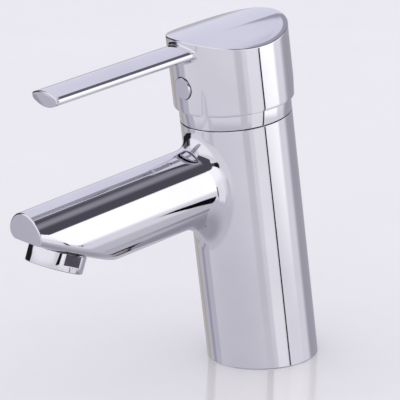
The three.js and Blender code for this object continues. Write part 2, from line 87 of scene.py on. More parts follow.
# %% Camera
VIEW_AZIMUTH = math.radians(52.81)
VIEW_ELEVATION = math.radians(16.75)
VIEW_ROLL = math.radians(2.03)
VIEW_DISTANCE = 1.4013
AIM = np.array([-0.0304, -0.0083, 0.0639])
LENS = 289.3          # mm
FILM_WIDTH = 36.0     # mm
FAR_CLIP = 20.0

backward = np.array([
    math.sin(VIEW_AZIMUTH) * math.cos(VIEW_ELEVATION),
    -math.cos(VIEW_AZIMUTH) * math.cos(VIEW_ELEVATION),
    math.sin(VIEW_ELEVATION),
])
sideways = np.array([math.cos(VIEW_AZIMUTH), math.sin(VIEW_AZIMUTH), 0.0])
above = np.cross(backward, sideways)
right = math.cos(VIEW_ROLL) * sideways - math.sin(VIEW_ROLL) * above
top = math.sin(VIEW_ROLL) * sideways + math.cos(VIEW_ROLL) * above

lens = bpy.data.cameras.new("catalogue_lens")
lens.lens = LENS
lens.sensor_width = FILM_WIDTH
lens.clip_end = FAR_CLIP
camera = bpy.data.objects.new("camera", lens)
turned = np.identity(4)
turned[:3, 0], turned[:3, 1], turned[:3, 2] = right, top, backward
turned[:3, 3] = AIM + VIEW_DISTANCE * backward
camera.matrix_world = Matrix(turned.tolist())
bpy.context.scene.collection.objects.link(camera)
bpy.context.scene.camera = camera
print("camera at", turned[:3, 3].round(3))

# %% [markdown]
# ## Finishes
# Each material starts from how the real surface was made. One small function adds a node with its
# settings and its links, and another turns a hex colour, as a paint chart gives it, to the linear
# numbers that the renderer works in. Pattern scales come from real sizes in millimetres: a noise of
# scale s has features about 1/s of a metre across.


# %% Node and colour helpers
def linear(hex_colour):
    """An sRGB hex colour as linear red, green, blue and alpha."""
    parts = [int(hex_colour[i:i + 2], 16) / 255 for i in (1, 3, 5)]
    return [c / 12.92 if c <= 0.04045 else ((c + 0.055) / 1.055) ** 2.4 for c in parts] + [1.0]


def add(tree, kind, settings=None, links=None):
    """Adds a node, sets its properties or socket values, and links its inputs."""
    node = tree.nodes.new(kind)
    for key, value in (settings or {}).items():
        if isinstance(key, str) and hasattr(node, key):
            setattr(node, key, value)
        else:
            node.inputs[key].default_value = value
    for key, socket in (links or {}).items():
        tree.links.new(socket, node.inputs[key])
    return node


def per_mm(size):
    """The noise scale that gives features of this size in millimetres."""
    return 1000.0 / size


def new_material(name):
    """An empty node material and its tree."""
    material = bpy.data.materials.new(name)
    material.use_nodes = True
    material.node_tree.nodes.clear()
    return material, material.node_tree


def finish_material(tree, shader):
    """Joins the shader to the material's output."""
    add(tree, "ShaderNodeOutputMaterial", links={"Surface": shader.outputs["BSDF"]})


def vary(tree, coords, size, low, high, detail=3.0):
    """A soft random value between low and high, with features of the given size in millimetres."""
    noise = add(tree, "ShaderNodeTexNoise", {"Scale": per_mm(size), "Detail": detail},
                {"Vector": coords.outputs["Object"]})
    # nearly all of a noise's values lie between 0.3 and 0.7, so that part is spread out
    spread = add(tree, "ShaderNodeMapRange",
                 {"From Min": 0.3, "From Max": 0.7, "To Min": low, "To Max": high},
                 {"Value": noise.outputs["Fac"]})
    return spread.outputs["Result"]


def bumped(tree, height, strength, depth_mm):
    """A normal from a height in the range 0 to 1, with a depth in millimetres."""
    bump = add(tree, "ShaderNodeBump", {"Strength": strength, "Distance": depth_mm * MM},
               {"Height": height})
    return bump.outputs["Normal"]


def tinted(tree, factor, low_hex, high_hex):
    """A colour between two hex colours, by a factor from 0 to 1."""
    mix = add(tree, "ShaderNodeMix", {"data_type": "RGBA"}, {0: factor})
    mix.inputs[6].default_value = linear(low_hex)
    mix.inputs[7].default_value = linear(high_hex)
    return mix.outputs[2]


print("node helpers ready")

# %% [markdown]
# ### Polished chrome
# The castings are ground, buffed to a mirror, and then plated with nickel and a very thin layer of
# chromium. The chromium gives a bright, slightly blue-grey mirror. What keeps it from looking like
# a computer's mirror is how imperfect it is: the buffing leaves a faint long waviness, fine wipe
# marks dull it in patches, and water leaves a thin haze. All three are worked out below.

# %% Polished chrome
BUFFING_WAVE = 11.0   # mm, length of the waviness that the buffing wheel leaves
WIPE_MARK = 2.4       # mm, width of the patches that a cloth leaves
HAZE = 26.0           # mm, size of the patches where dried water dulls the shine
WAVE_DEPTH = 0.012    # mm, height of the waviness


def polished_chrome():
    """A mirror with slight waviness, wipe marks and haze."""
    material, tree = new_material("polished_chrome_plate_on_brass")
    coords = add(tree, "ShaderNodeTexCoord")
    haze = vary(tree, coords, HAZE, 0.0, 1.0)
    wipes = vary(tree, coords, WIPE_MARK, 0.018, 0.045, 6.0)
    patches = vary(tree, coords, HAZE, 0.0, 0.022)
    roughness = add(tree, "ShaderNodeMath", {"operation": "ADD"}, {0: wipes, 1: patches})
    wave = vary(tree, coords, BUFFING_WAVE, 0.0, 1.0, 1.0)
    shader = add(tree, "ShaderNodeBsdfPrincipled", {"Metallic": 1.0}, {
        "Base Color": tinted(tree, haze, "#DDDCE2", "#E3E2E8"),
        "Roughness": roughness.outputs[0],
        "Normal": bumped(tree, wave, 0.25, WAVE_DEPTH),
    })
    finish_material(tree, shader)
    return material


FINISHES = {"polished_chrome": polished_chrome()}
print("made", FINISHES["polished_chrome"].name)

# %% [markdown]
# ### Turned brass, stainless steel, rubber, plastics and ceramic
# The pieces inside were never meant to be seen, so they show how they were made: fine rings from the
# lathe on the brass nut and stem, a dull drawn grain on the steel, a moulded bloom on the rubber, a
# slightly pearly moulding skin on the acetal, and a lapped, almost glassy face on the alumina discs.

# %% Two kinds of material
STAIN = 6.0             # mm, size of the patches where a bare metal has dulled
GRAIN_DEPTH = 0.02      # mm
MOTTLE = 8.0            # mm, size of the slow changes of colour in a moulded piece
SUBSURFACE_REACH = 2.0  # mm, how far light gets into white plastic or ceramic


def metal(name, dull_hex, bright_hex, rough_low, rough_high, grain_mm, stretch):
    """A worked metal: streaks of the grain, stretched along one axis, in colour, gloss and relief."""
    material, tree = new_material(name)
    coords = add(tree, "ShaderNodeTexCoord")
    along = add(tree, "ShaderNodeMapping", {"Scale": stretch}, {"Vector": coords.outputs["Object"]})
    grain = add(tree, "ShaderNodeTexNoise", {"Scale": per_mm(grain_mm), "Detail": 2.0},
                {"Vector": along.outputs["Vector"]})
    roughness = add(tree, "ShaderNodeMapRange", {"To Min": rough_low, "To Max": rough_high},
                    {"Value": grain.outputs["Fac"]})
    shader = add(tree, "ShaderNodeBsdfPrincipled", {"Metallic": 1.0}, {
        "Base Color": tinted(tree, vary(tree, coords, STAIN, 0.0, 1.0), dull_hex, bright_hex),
        "Roughness": roughness.outputs["Result"],
        "Normal": bumped(tree, grain.outputs["Fac"], 0.4, GRAIN_DEPTH),
    })
    finish_material(tree, shader)
    return material


def moulded(name, dark_hex, light_hex, rough_low, rough_high, texture_mm, depth_mm, ior,
            subsurface=0.0):
    """A moulded or lapped non-metal: slow mottle in colour, fine texture in gloss and relief."""
    material, tree = new_material(name)
    coords = add(tree, "ShaderNodeTexCoord")
    texture = vary(tree, coords, texture_mm, 0.0, 1.0)
    settings = {"IOR": ior, "Subsurface Weight": subsurface,
                "Subsurface Scale": SUBSURFACE_REACH * MM}
    shader = add(tree, "ShaderNodeBsdfPrincipled", settings, {
        "Base Color": tinted(tree, vary(tree, coords, MOTTLE, 0.0, 1.0), dark_hex, light_hex),
        "Roughness": vary(tree, coords, 2.0 * texture_mm, rough_low, rough_high),
        "Normal": bumped(tree, texture, 0.5, depth_mm),
    })
    finish_material(tree, shader)
    return material


print("metals and moulded materials ready")

# %% [markdown]
# Now each finish, with the size of its own pattern, goes on the inner pieces. These keep the CAD's
# meshes, because their plain turned and moulded shapes are already right.

# %% The other finishes
TURNING_PITCH = 0.35   # mm, feed of the lathe tool, drawn about twice as coarse as real so it shows
DRAWN_GRAIN = 0.25     # mm, width of the streaks on drawn bar
RUBBER_BLOOM = 1.2     # mm, mottle on moulded rubber
MOULD_SKIN = 0.6       # mm, spark-eroded texture of the mould
LAPPING = 0.15         # mm, the polish left by lapping paste, drawn coarse

FINISHES.update({
    "turned_brass": metal("turned_free_cutting_brass", "#B8954A", "#D2B066", 0.22, 0.38,
                          TURNING_PITCH, (0.05, 0.05, 1.0)),
    "stainless_steel": metal("drawn_stainless_steel", "#A9ABAE", "#BFC1C4", 0.25, 0.42,
                             DRAWN_GRAIN, (1.0, 1.0, 0.04)),
    "black_rubber": moulded("moulded_EPDM_rubber", "#1B1C1E", "#2A2B2E", 0.6, 0.85,
                            RUBBER_BLOOM, 0.05, 1.52),
    "white_plastic": moulded("moulded_white_acetal", "#E2E0D8", "#EEECE6", 0.35, 0.5,
                             MOULD_SKIN, 0.02, 1.48, 0.1),
    "grey_plastic": moulded("moulded_grey_acetal", "#8E9196", "#9EA1A6", 0.35, 0.5,
                            MOULD_SKIN, 0.02, 1.48, 0.05),
    "alumina_ceramic": moulded("lapped_alumina_ceramic", "#EFEAE0", "#F7F3EA", 0.12, 0.22,
                               LAPPING, 0.004, 1.76, 0.1),
})
SLOT_OF = {
    "turned_brass": ["clamp_nut", "cartridge_nut", "lever_stem"],
    "stainless_steel": ["steel_horseshoe_washer", "pivot_pin", "set_screw"],
    "black_rubber": ["base_seal", "rubber_horseshoe_washer", "hot_inlet_seal", "cold_inlet_seal",
                     "outlet_seal", "aerator_gasket"],
    "white_plastic": ["cartridge_base", "cartridge_housing", "flow_regulator"],
    "grey_plastic": ["stem_carrier", "disc_coupler"],
    "alumina_ceramic": ["fixed_ceramic_disc", "moving_ceramic_disc"],
}
for slot_name, node_names in SLOT_OF.items():
    for node_name in node_names:
        node_mesh = frame["nodes"][node_name].data
        node_mesh.materials.clear()
        node_mesh.materials.append(FINISHES[slot_name])
print(len(FINISHES), "finishes on", sum(len(names) for names in SLOT_OF.values()), "CAD nodes")

# %% [markdown]
# ## Making a piece
# A visible piece is made as points and faces in millimetres, then placed once. `shown` builds the
# mesh, shades it smooth with true corners kept sharp, gives it its finish, lets it ride on its body
# and hides the plain CAD node that it stands for.


# %% Piece helpers
def shown(name, points, faces, slot_name, body, nodes=(), axes=LEANING, corner=35.0):
    """A finished piece from points in millimetres, in the given axes."""
    mesh = bpy.data.meshes.new(name)
    placed = np.asarray(points, float) @ axes * MM
    mesh.from_pydata(placed.tolist(), [], [list(face) for face in faces])
    mesh.validate()
    mesh.polygons.foreach_set("use_smooth", [True] * len(mesh.polygons))
    mesh.set_sharp_from_angle(angle=math.radians(corner))
    piece = bpy.data.objects.new(name, mesh)
    bpy.context.scene.collection.objects.link(piece)
    dress(piece, slot_name, body, nodes)
    return piece


def dress(piece, slot_name, body, nodes=()):
    """Finish, body and CAD node of a piece."""
    piece.data.materials.clear()
    piece.data.materials.append(FINISHES[slot_name])
    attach(piece, body)
    if nodes:
        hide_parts(*nodes)
    print(piece.name, len(piece.data.polygons), "faces")


print("piece helpers ready")

# %% [markdown]
# Many of the pieces are turned on a lathe. So the next helpers round the corners of an outline, join
# rings of points with quads, and turn an outline about its axis.


# %% Outlines and rings
def round_the_axis(facets):
    """The angles of this many points round a circle."""
    return np.arange(facets) * 2 * math.pi / facets


def softened(corners, steps=4):
    """A closed outline from (a, b, radius) corners, each one rounded to its radius."""
    outline = []
    count = len(corners)
    for i, (a, b, radius) in enumerate(corners):
        here = np.array([a, b], float)
        if radius <= 0:
            outline.append(here)
            continue
        before = np.array(corners[i - 1][:2], float) - here
        after = np.array(corners[(i + 1) % count][:2], float) - here
        before /= np.linalg.norm(before)
        after /= np.linalg.norm(after)
        half = math.acos(np.clip(before @ after, -1, 1)) / 2
        centre = here + (before + after) / np.linalg.norm(before + after) * radius / math.sin(half)
        start = here + before * radius / math.tan(half) - centre
        end = here + after * radius / math.tan(half) - centre
        sweep = math.acos(np.clip(start @ end / radius ** 2, -1, 1))
        for k in range(steps + 1):
            t = k / steps
            outline.append(centre + (math.sin((1 - t) * sweep) * start + math.sin(t * sweep) * end)
                           / math.sin(sweep))
    return outline


def ring_faces(rings, count, closed=False):
    """Quads between rings of the same number of points. They face out where the rings run
    anticlockwise seen from above and are stacked upwards."""
    faces = []
    for i in range(rings if closed else rings - 1):
        low, high = i * count, ((i + 1) % rings) * count
        faces += [(low + j, low + (j + 1) % count, high + (j + 1) % count, high + j)
                  for j in range(count)]
    return faces


def turned_ring(outline, facets=160):
    """A closed outline of (radius, height) points turned about the axis. The outline runs up the
    outside and down the inside, so that the faces point out."""
    points = [(r * math.cos(t), r * math.sin(t), h)
              for r, h in outline for t in round_the_axis(facets)]
    return points, ring_faces(len(outline), facets, closed=True)


print("outline helpers ready")

# %% [markdown]
# ## Body and spout
# On the real tap these are one casting: a round column and an oval spout, ground and buffed until
# nothing but a soft hollow curve shows where they meet. Lofting one into the other leaves seams
# that a mirror finish shows at once. So the skin is worked out as a rule instead: a point's distance
# from the column, from the oval spout and from the slanting underside. Where two of them meet, the
# rule rounds the corner with a true radius, hollow where the spout leaves the body and full along
# the underside's edges. The mesh is then drawn over the places where that distance is nought.

# %% The rule for the casting's skin
COLUMN_R = 24.0
COLUMN_TOP = 110.0
SPOUT_HALF_WIDTH, SPOUT_HALF_HEIGHT = 13.5, 17.0
SPOUT_MIDDLE, SPOUT_FALL = 85.9, 0.025
SPOUT_REACH = 113.0
SPOUT_ROOT = -4.0              # the oval starts this far in front of the body's axis
UNDERSIDE_ABOVE_RIM = 7.7
# radius where the spout meets the body: larger below, smaller above
HOLLOW_MIDDLE, HOLLOW_SWING = 10.0, 3.4
# radius along the underside's edges, and more at its keel
EDGE_SIDE, EDGE_KEEL = 4.2, 8.0


def rounded_meeting(a, b, cosine, radius):
    """Distance to the union of two skins, with the corner between them filled to a radius."""
    p, q = radius - a, radius - b
    cosine = np.clip(cosine, -0.999, 0.999)
    near = (p - cosine * q > 0) & (q - cosine * p > 0)
    gap = np.sqrt(np.maximum(p * p + q * q - 2 * cosine * p * q, 0) / (1 - cosine * cosine))
    return np.where(near, radius - gap, np.minimum(a, b))


def casting_distance(points):
    """Distance from the casting's skin in millimetres: less than nought inside the metal."""
    x, y, z = points[..., 0], points[..., 1], points[..., 2]
    reach = np.maximum(np.hypot(x, y), 1e-6)
    column = reach - COLUMN_R
    rise = z - (SPOUT_MIDDLE + SPOUT_FALL * y)
    across, along = x / SPOUT_HALF_WIDTH, rise / SPOUT_HALF_HEIGHT
    oval = np.maximum(np.hypot(across, along), 1e-6)
    slope_x, slope_z = across / SPOUT_HALF_WIDTH, along / SPOUT_HALF_HEIGHT
    steep = np.maximum(np.hypot(slope_x, slope_z), 1e-9)
    spout = oval * (oval - 1) / steep
    facing_x, facing_z = slope_x / steep, slope_z / steep
    above_rim = (y - OUTLET[1]) * OUTLET_UP[1] + (z - OUTLET[2]) * OUTLET_UP[2]
    below = UNDERSIDE_ABOVE_RIM - above_rim
    cosine = -facing_z * OUTLET_UP[2]
    edge = EDGE_SIDE + EDGE_KEEL * np.maximum(cosine, 0) ** 2
    spout = -rounded_meeting(-spout, -below, cosine, edge)
    spout = np.maximum(spout, y - SPOUT_ROOT)
    hollow = HOLLOW_MIDDLE - HOLLOW_SWING * facing_z
    return rounded_meeting(column, spout, x / reach * facing_x, hollow)


def casting_normals(points):
    """The skin's outward direction at each point, from small steps to either side."""
    step = 0.02
    slope = np.stack([
        casting_distance(points + step * side) - casting_distance(points - step * side)
        for side in np.identity(3)
    ], axis=-1)
    return slope / np.linalg.norm(slope, axis=-1, keepdims=True)


print("the skin is", round(float(-casting_distance(np.array([0.0, 0.0, 50.0]))), 1),
      "mm from the body's axis")

# %% [markdown]
# A fine grid is laid through the rule. Every cell that the skin passes through gets one point, and
# neighbouring points are joined by quads. A few steps along the slope then bring each point exactly
# onto the skin, which a mirror finish needs.

# %% Draw a net over the skin
NET_PITCH = 0.85                     # mm between the net's threads
NET_LOW = (-25.6, -115.5, -6.0)      # the net's box runs past the tip, the top and the deck
NET_HIGH = (25.6, 25.6, 112.5)
STEPS_TO_SKIN = 4


def net_over(distance, low, high, pitch):
    """Points and quads over the places where the distance is nought, one point for each cell of
    the grid that the skin passes through, then moved along the slope until it lies on the skin."""
    steps = [np.arange(a, b + pitch, pitch) for a, b in zip(low, high)]
    grid = np.stack(np.meshgrid(*steps, indexing="ij"), axis=-1)
    values = distance(grid)
    inside = values < 0
    shape = np.array(values.shape) - 1
    total = np.zeros(shape)
    crossings = np.zeros((*shape, 3))
    for axis in range(3):
        ahead = [slice(1, None) if k == axis else slice(None) for k in range(3)]
        behind = [slice(None, -1) if k == axis else slice(None) for k in range(3)]
        a, b = values[tuple(behind)], values[tuple(ahead)]
        crossed = (a < 0) != (b < 0)
        share = np.where(crossed, a / np.where(crossed, a - b, 1), 0)
        spot = grid[tuple(behind)] + share[..., None] * np.identity(3)[axis] * pitch
        others = [k for k in range(3) if k != axis]
        for first in (0, 1):
            for second in (0, 1):
                cut = [slice(None)] * 3
                cut[others[0]] = slice(first, first + shape[others[0]])
                cut[others[1]] = slice(second, second + shape[others[1]])
                total += crossed[tuple(cut)]
                crossings += np.where(crossed[tuple(cut)][..., None], spot[tuple(cut)], 0)
    held = total > 0
    number = np.full(shape, -1)
    number[held] = np.arange(held.sum())
    points = crossings[held] / total[held][:, None]
    for _ in range(STEPS_TO_SKIN):
        points -= casting_normals(points) * distance(points)[:, None]
    quads = []
    for axis in range(3):
        u, v = (axis + 1) % 3, (axis + 2) % 3
        ahead = [slice(1, -1)] * 3
        behind = [slice(1, -1)] * 3
        ahead[axis], behind[axis] = slice(1, None), slice(None, -1)
        a, b = inside[tuple(behind)], inside[tuple(ahead)]
        where = np.argwhere(a != b)
        leaving = a[a != b]
        where[:, [u, v]] += 1
        corners = []
        for du, dv in ((1, 1), (0, 1), (0, 0), (1, 0)):
            cell = where.copy()
            cell[:, u] -= du
            cell[:, v] -= dv
            corners.append(number[tuple(cell.T)])
        quad = np.stack(corners, axis=1)
        quad[~leaving] = quad[~leaving][:, ::-1]
        quads.append(quad)
    quads = np.concatenate(quads)
    return points, quads[(quads >= 0).all(axis=1)]


skin_points, skin_quads = net_over(casting_distance, NET_LOW, NET_HIGH, NET_PITCH)
print("net", len(skin_points), "points", len(skin_quads), "quads")

# %% [markdown]
# The net runs past the tip, the top and the deck, so it is trimmed there with flat cuts. A real
# edge is never perfectly sharp: the polisher breaks it by half a millimetre or so, and that
# narrow rim is what catches the light. Each cut's edge gets such a rim, then its flat face. Inside
# the base is the hollow for the hoses, on top the pocket for the cartridge, and under the tip the
# bore that the aerator screws to.

# %% Trim the net
TIP_RIM, TOP_RIM, BASE_RIM = 0.7, 0.3, 0.5   # mm, how far each edge is broken
DECK_UP = np.array([0.0, math.sin(LEAN), math.cos(LEAN)])

casting = bmesh.new()
skin_layer = casting.verts.layers.float_vector.new("skin_normal")
skin_verts = [casting.verts.new(point) for point in skin_points]
for quad in skin_quads:
    casting.faces.new([skin_verts[i] for i in quad])
for cut_at, facing in (
    ((0, -SPOUT_REACH + TIP_RIM, 0), (0, -1, 0)),
    ((0, 0, COLUMN_TOP - TOP_RIM), (0, 0, 1)),
    (tuple(DECK_UP * BASE_RIM), tuple(-DECK_UP)),
):
    bmesh.ops.bisect_plane(casting, geom=casting.verts[:] + casting.edges[:] + casting.faces[:],
                           dist=1e-5, plane_co=cut_at, plane_no=facing, clear_outer=True)


def in_outlet(points):
    """Points in the tap's axes as points in the aerator's own axes."""
    return (np.asarray(points) - OUTLET) @ OUTLET_AXES.T


BORE_R, BORE_TOP, BORE_CLEARED = 8.8, 16.4, 9.5
NEAR = 3.0   # mm, how near to the underside's cut a face or a loop has to be to belong to it
doomed = []
for face in casting.faces:
    x, y, z = in_outlet(face.calc_center_median())
    if math.hypot(x, y) < BORE_CLEARED and abs(z - UNDERSIDE_ABOVE_RIM) < NEAR:
        doomed.append(face)
bmesh.ops.delete(casting, geom=doomed, context="FACES")
bmesh.ops.dissolve_degenerate(casting, dist=1e-3, edges=casting.edges[:])
print("trimmed net", len(casting.faces), "faces,", len(doomed), "taken out for the bore")

# %% [markdown]
# The cuts leave open loops of edges. The next helpers find each loop, turn it to run the right way
# round, and join it to another ring that may have a different number of points.


# %% Loops and rings on the casting
def open_loops(mesh):
    """Each open edge loop as a list of vertices, in order. A dictionary keeps the edges in the
    mesh's own order, so that every run starts each loop at the same vertex."""
    edges = {e: None for e in mesh.edges if e.is_boundary}
    loops = []
    while edges:
        edge = next(iter(edges))
        edges.pop(edge)
        loop = [edge.verts[0], edge.verts[1]]
        while True:
            nexts = [e for e in loop[-1].link_edges if e in edges]
            if not nexts:
                break
            edges.pop(nexts[0])
            other = nexts[0].other_vert(loop[-1])
            if other is loop[0]:
                break
            loop.append(other)
        loops.append(loop)
    return loops


def anticlockwise(loop, u, v):
    """The loop turned so that it runs anticlockwise in the plane of u and v."""
    flat = np.array([[np.dot(vert.co, u), np.dot(vert.co, v)] for vert in loop])
    ahead = np.roll(flat, -1, axis=0)
    area = (flat[:, 0] * ahead[:, 1] - ahead[:, 0] * flat[:, 1]).sum()
    return loop if area > 0 else loop[::-1]


def bridge(mesh, first, second, centre, u, v):
    """Triangles from one ring to another around a centre, stepping along whichever lags behind."""
    def angles(ring):
        spokes = [np.array(vert.co) - centre for vert in ring]
        return np.unwrap([math.atan2(spoke @ v, spoke @ u) for spoke in spokes])
    start = angles(first)
    offsets = np.mod(angles(second) - start[0] + math.pi, 2 * math.pi) - math.pi
    shift = int(np.argmin(np.abs(offsets)))
    second = second[shift:] + second[:shift]
    theirs = angles(second)
    theirs += 2 * math.pi * round((start[0] - theirs[0]) / (2 * math.pi))
    i = j = 0
    n, m = len(first), len(second)
    start = np.append(start, start[0] + 2 * math.pi)
    theirs = np.append(theirs, theirs[0] + 2 * math.pi)
    while i < n or j < m:
        a, b = first[i % n], second[j % m]
        if j >= m or (i < n and start[i + 1] <= theirs[j + 1]):
            mesh.faces.new((a, first[(i + 1) % n], b))
            i += 1
        else:
            mesh.faces.new((a, second[(j + 1) % m], b))
            j += 1


def quads_between(mesh, first, second):
    """Quads between two rings of the same number of points."""
    n = len(first)
    for i in range(n):
        mesh.faces.new((first[i], first[(i + 1) % n], second[(i + 1) % n], second[i]))


def circle(mesh, radius, height, facets, axes=np.identity(3), origin=(0, 0, 0)):
    """A ring of new vertices at a height along the axis."""
    return [mesh.verts.new(np.array([radius * math.cos(t), radius * math.sin(t), height]) @ axes
                           + origin)
            for t in round_the_axis(facets)]


RIM_STEPS = 6


def broken_edge(mesh, loop, forward, radius):
    """A quarter-round rim from the loop to a flat face that looks forward."""
    forward = np.array(forward, float)
    places = np.array([vert.co for vert in loop])
    sides = casting_normals(places)
    sides -= np.outer(sides @ forward, forward)
    sides /= np.linalg.norm(sides, axis=1, keepdims=True)
    previous = loop
    for k in range(1, RIM_STEPS + 1):
        t = k / RIM_STEPS * math.pi / 2
        ring = []
        for place, side in zip(places, sides):
            at = place + forward * radius * math.sin(t) - side * radius * (1 - math.cos(t))
            vert = mesh.verts.new(at)
            vert[skin_layer] = side * math.cos(t) + forward * math.sin(t)
            ring.append(vert)
        quads_between(mesh, previous, ring)
        previous = ring
    return previous


print("loop helpers ready")

# %% [markdown]
# Each loop is known by where its middle lies. Each gets its broken edge and its flat face, and the
# pocket, the base's hollow and the aerator's bore are closed behind with rings and a flat end.

# %% Close the casting
X, Y, Z = np.identity(3)
CAVITY_R, CAVITY_FLOOR = 17.8, 84.0          # the cartridge's pocket
SHOULDER_R, SHOULDER_AT = 20.4, 103.7        # the step that its nut screws into
BASE_HOLLOW_R, BASE_HOLLOW_TOP = 19.2, 60.0  # room for the hoses
BORE_FACETS, POCKET_FACETS = 64, 96
TIP_SIDE, TOP_SIDE = -60.0, 60.0             # past these a loop belongs to the tip or the top
loops = sorted(open_loops(casting), key=len)
print("open loops", [len(loop) for loop in loops])
for loop in loops:
    middle = np.mean([vert.co for vert in loop], axis=0)
    if np.linalg.norm(middle - (OUTLET + OUTLET_UP * UNDERSIDE_ABOVE_RIM)) < NEAR:
        loop = anticlockwise(loop, OUTLET_AXES[0], -OUTLET_AXES[1])
        rings = [circle(casting, BORE_R, h, BORE_FACETS, OUTLET_AXES, OUTLET)[::-1]
                 for h in (UNDERSIDE_ABOVE_RIM, BORE_TOP)]
        bridge(casting, loop, rings[0], OUTLET, OUTLET_AXES[0], -OUTLET_AXES[1])
        quads_between(casting, rings[0], rings[1])
        casting.faces.new(rings[1])
    elif middle[1] < TIP_SIDE:
        loop = anticlockwise(loop, X, Z)
        casting.faces.new(broken_edge(casting, loop, -Y, TIP_RIM))
    elif middle[2] > TOP_SIDE:
        loop = broken_edge(casting, anticlockwise(loop, X, Y), Z, TOP_RIM)
        rings = [circle(casting, r, h, POCKET_FACETS) for r, h in (
            (SHOULDER_R, COLUMN_TOP), (SHOULDER_R, SHOULDER_AT),
            (CAVITY_R, SHOULDER_AT), (CAVITY_R, CAVITY_FLOOR))]
        bridge(casting, loop, rings[0], np.zeros(3), X, Y)
        for first, second in zip(rings, rings[1:]):
            quads_between(casting, first, second)
        casting.faces.new(rings[-1])
    else:
        loop = broken_edge(casting, anticlockwise(loop, X, -Y), -DECK_UP, BASE_RIM)
        low, high = [circle(casting, BASE_HOLLOW_R, h, POCKET_FACETS) for h in (0, BASE_HOLLOW_TOP)]
        for vert in low:
            vert.co.z = -vert.co.y * math.tan(LEAN)
        bridge(casting, loop, low[::-1], np.zeros(3), X, -Y)
        quads_between(casting, low[::-1], high[::-1])
        casting.faces.new(high[::-1])
print("casting", len(casting.verts), "verts, open edges left",
      sum(e.is_boundary for e in casting.edges))

# %% [markdown]
# A mirror shows every facet of a mesh. So the skin isn't shaded by its faces but by the rule's own
# slope at each point, and each rim by its round. Flat faces keep their flat shading.

# %% Shade the casting by its rule
SKIN_TOLERANCE = 0.02    # mm from the skin within which a point belongs to it
TURNED_TOO_FAR = 0.7     # cosine between a face and the rule's slope, below which it stays flat
casting.verts.ensure_lookup_table()
places = np.array([vert.co for vert in casting.verts])
given = np.array([vert[skin_layer] for vert in casting.verts])
on_rim = np.linalg.norm(given, axis=1) > 0.5
vertex_normals = np.where(on_rim[:, None], given, casting_normals(places))
smooth = on_rim | (np.abs(casting_distance(places)) < SKIN_TOLERANCE)
casting_mesh = bpy.data.meshes.new("body_and_spout")
casting.to_mesh(casting_mesh)
casting.free()
casting_mesh.attributes.remove(casting_mesh.attributes["skin_normal"])
casting_mesh.polygons.foreach_set("use_smooth", [True] * len(casting_mesh.polygons))
loop_normals = np.zeros((len(casting_mesh.loops), 3))
for polygon in casting_mesh.polygons:
    flat = np.array(polygon.normal)
    for i in polygon.loop_indices:
        v = casting_mesh.loops[i].vertex_index
        small = len(polygon.vertices) < 5
        agrees = smooth[v] and small and vertex_normals[v] @ flat > TURNED_TOO_FAR
        loop_normals[i] = vertex_normals[v] if agrees else flat
casting_mesh.vertices.foreach_set("co", (places @ LEANING * MM).ravel())
casting_mesh.normals_split_custom_set([tuple(n) for n in loop_normals @ LEANING])
body_piece = bpy.data.objects.new("body_and_spout", casting_mesh)
bpy.context.scene.collection.objects.link(body_piece)
dress(body_piece, "polished_chrome", "body", ["body_casting"])

# %% [markdown]
# ## Trim ring
# A pressed brass ring, the same width as the body, that hides the cartridge's nut. It stands a hair
# above the body, so a thin dark line shows all round. Its outline is turned on the lathe, and so is
# its model.

# %% Trim ring
RING_LOW, RING_TOP = 110.3, 116.7
RING_BORE = 20.4
DOME_BORE, DOME_RISE = 15.6, 3.0   # the dome that closes the ring inside the cap
ring_outline = softened([
    (RING_BORE, RING_LOW, 0.2), (COLUMN_R, RING_LOW, 0.3), (COLUMN_R, RING_TOP, 0.3),
    (COLUMN_R - 1.0, RING_TOP + 0.8, 0.5), (COLUMN_R - 2.6, RING_TOP + DOME_RISE, 0.8),
    (DOME_BORE, RING_TOP + DOME_RISE, 0.3), (DOME_BORE, RING_TOP + 1.2, 0),
    (RING_BORE, RING_TOP - 0.6, 0)])
shown("trim_ring_skin", *turned_ring(ring_outline), "polished_chrome", "body", ["trim_ring"])

# %% [markdown]
# ## Cap handle
# The cap is a deep thimble whose roof is not flat but crowned from side to side, like a slice of a
# drum. Its wall is a true cylinder, and the narrow rolled edge between wall and roof draws a bright
# line. Behind, the foot of the skirt draws in a little, to clear the tiles. Rings of points run from
# the inside of the skirt, round its foot, up the wall, over the rolled edge and in to the middle of
# the roof, then the same again under the roof, so that the shell is closed.

# %% Rings of the cap
CAP_R, CAP_IN_R, CAP_LOW, CAP_TOP = 25.9, 24.5, 117.0, 149.6
CROWN_R = 76.0
ROOF = 2.6
ROLLED_EDGE = 0.55
FOOT_EDGE = 0.3
RELIEF_HEIGHT, RELIEF_DEPTH = 8.0, 0.55
RELIEF_START = 0.45   # sine of the angle, towards the back, where the foot begins to draw in
SKIRT_INSIDE = 12.0   # height inside the skirt of one more ring of points
CAP_FACETS = 224


def crown(x):
    """Height of the roof over the middle line, lower towards the sides."""
    return CAP_TOP - CROWN_R + np.sqrt(CROWN_R ** 2 - np.asarray(x) ** 2)


def eased(t):
    """A soft start and a soft stop between 0 and 1."""
    t = np.clip(t, 0, 1)
    return t * t * (3 - 2 * t)


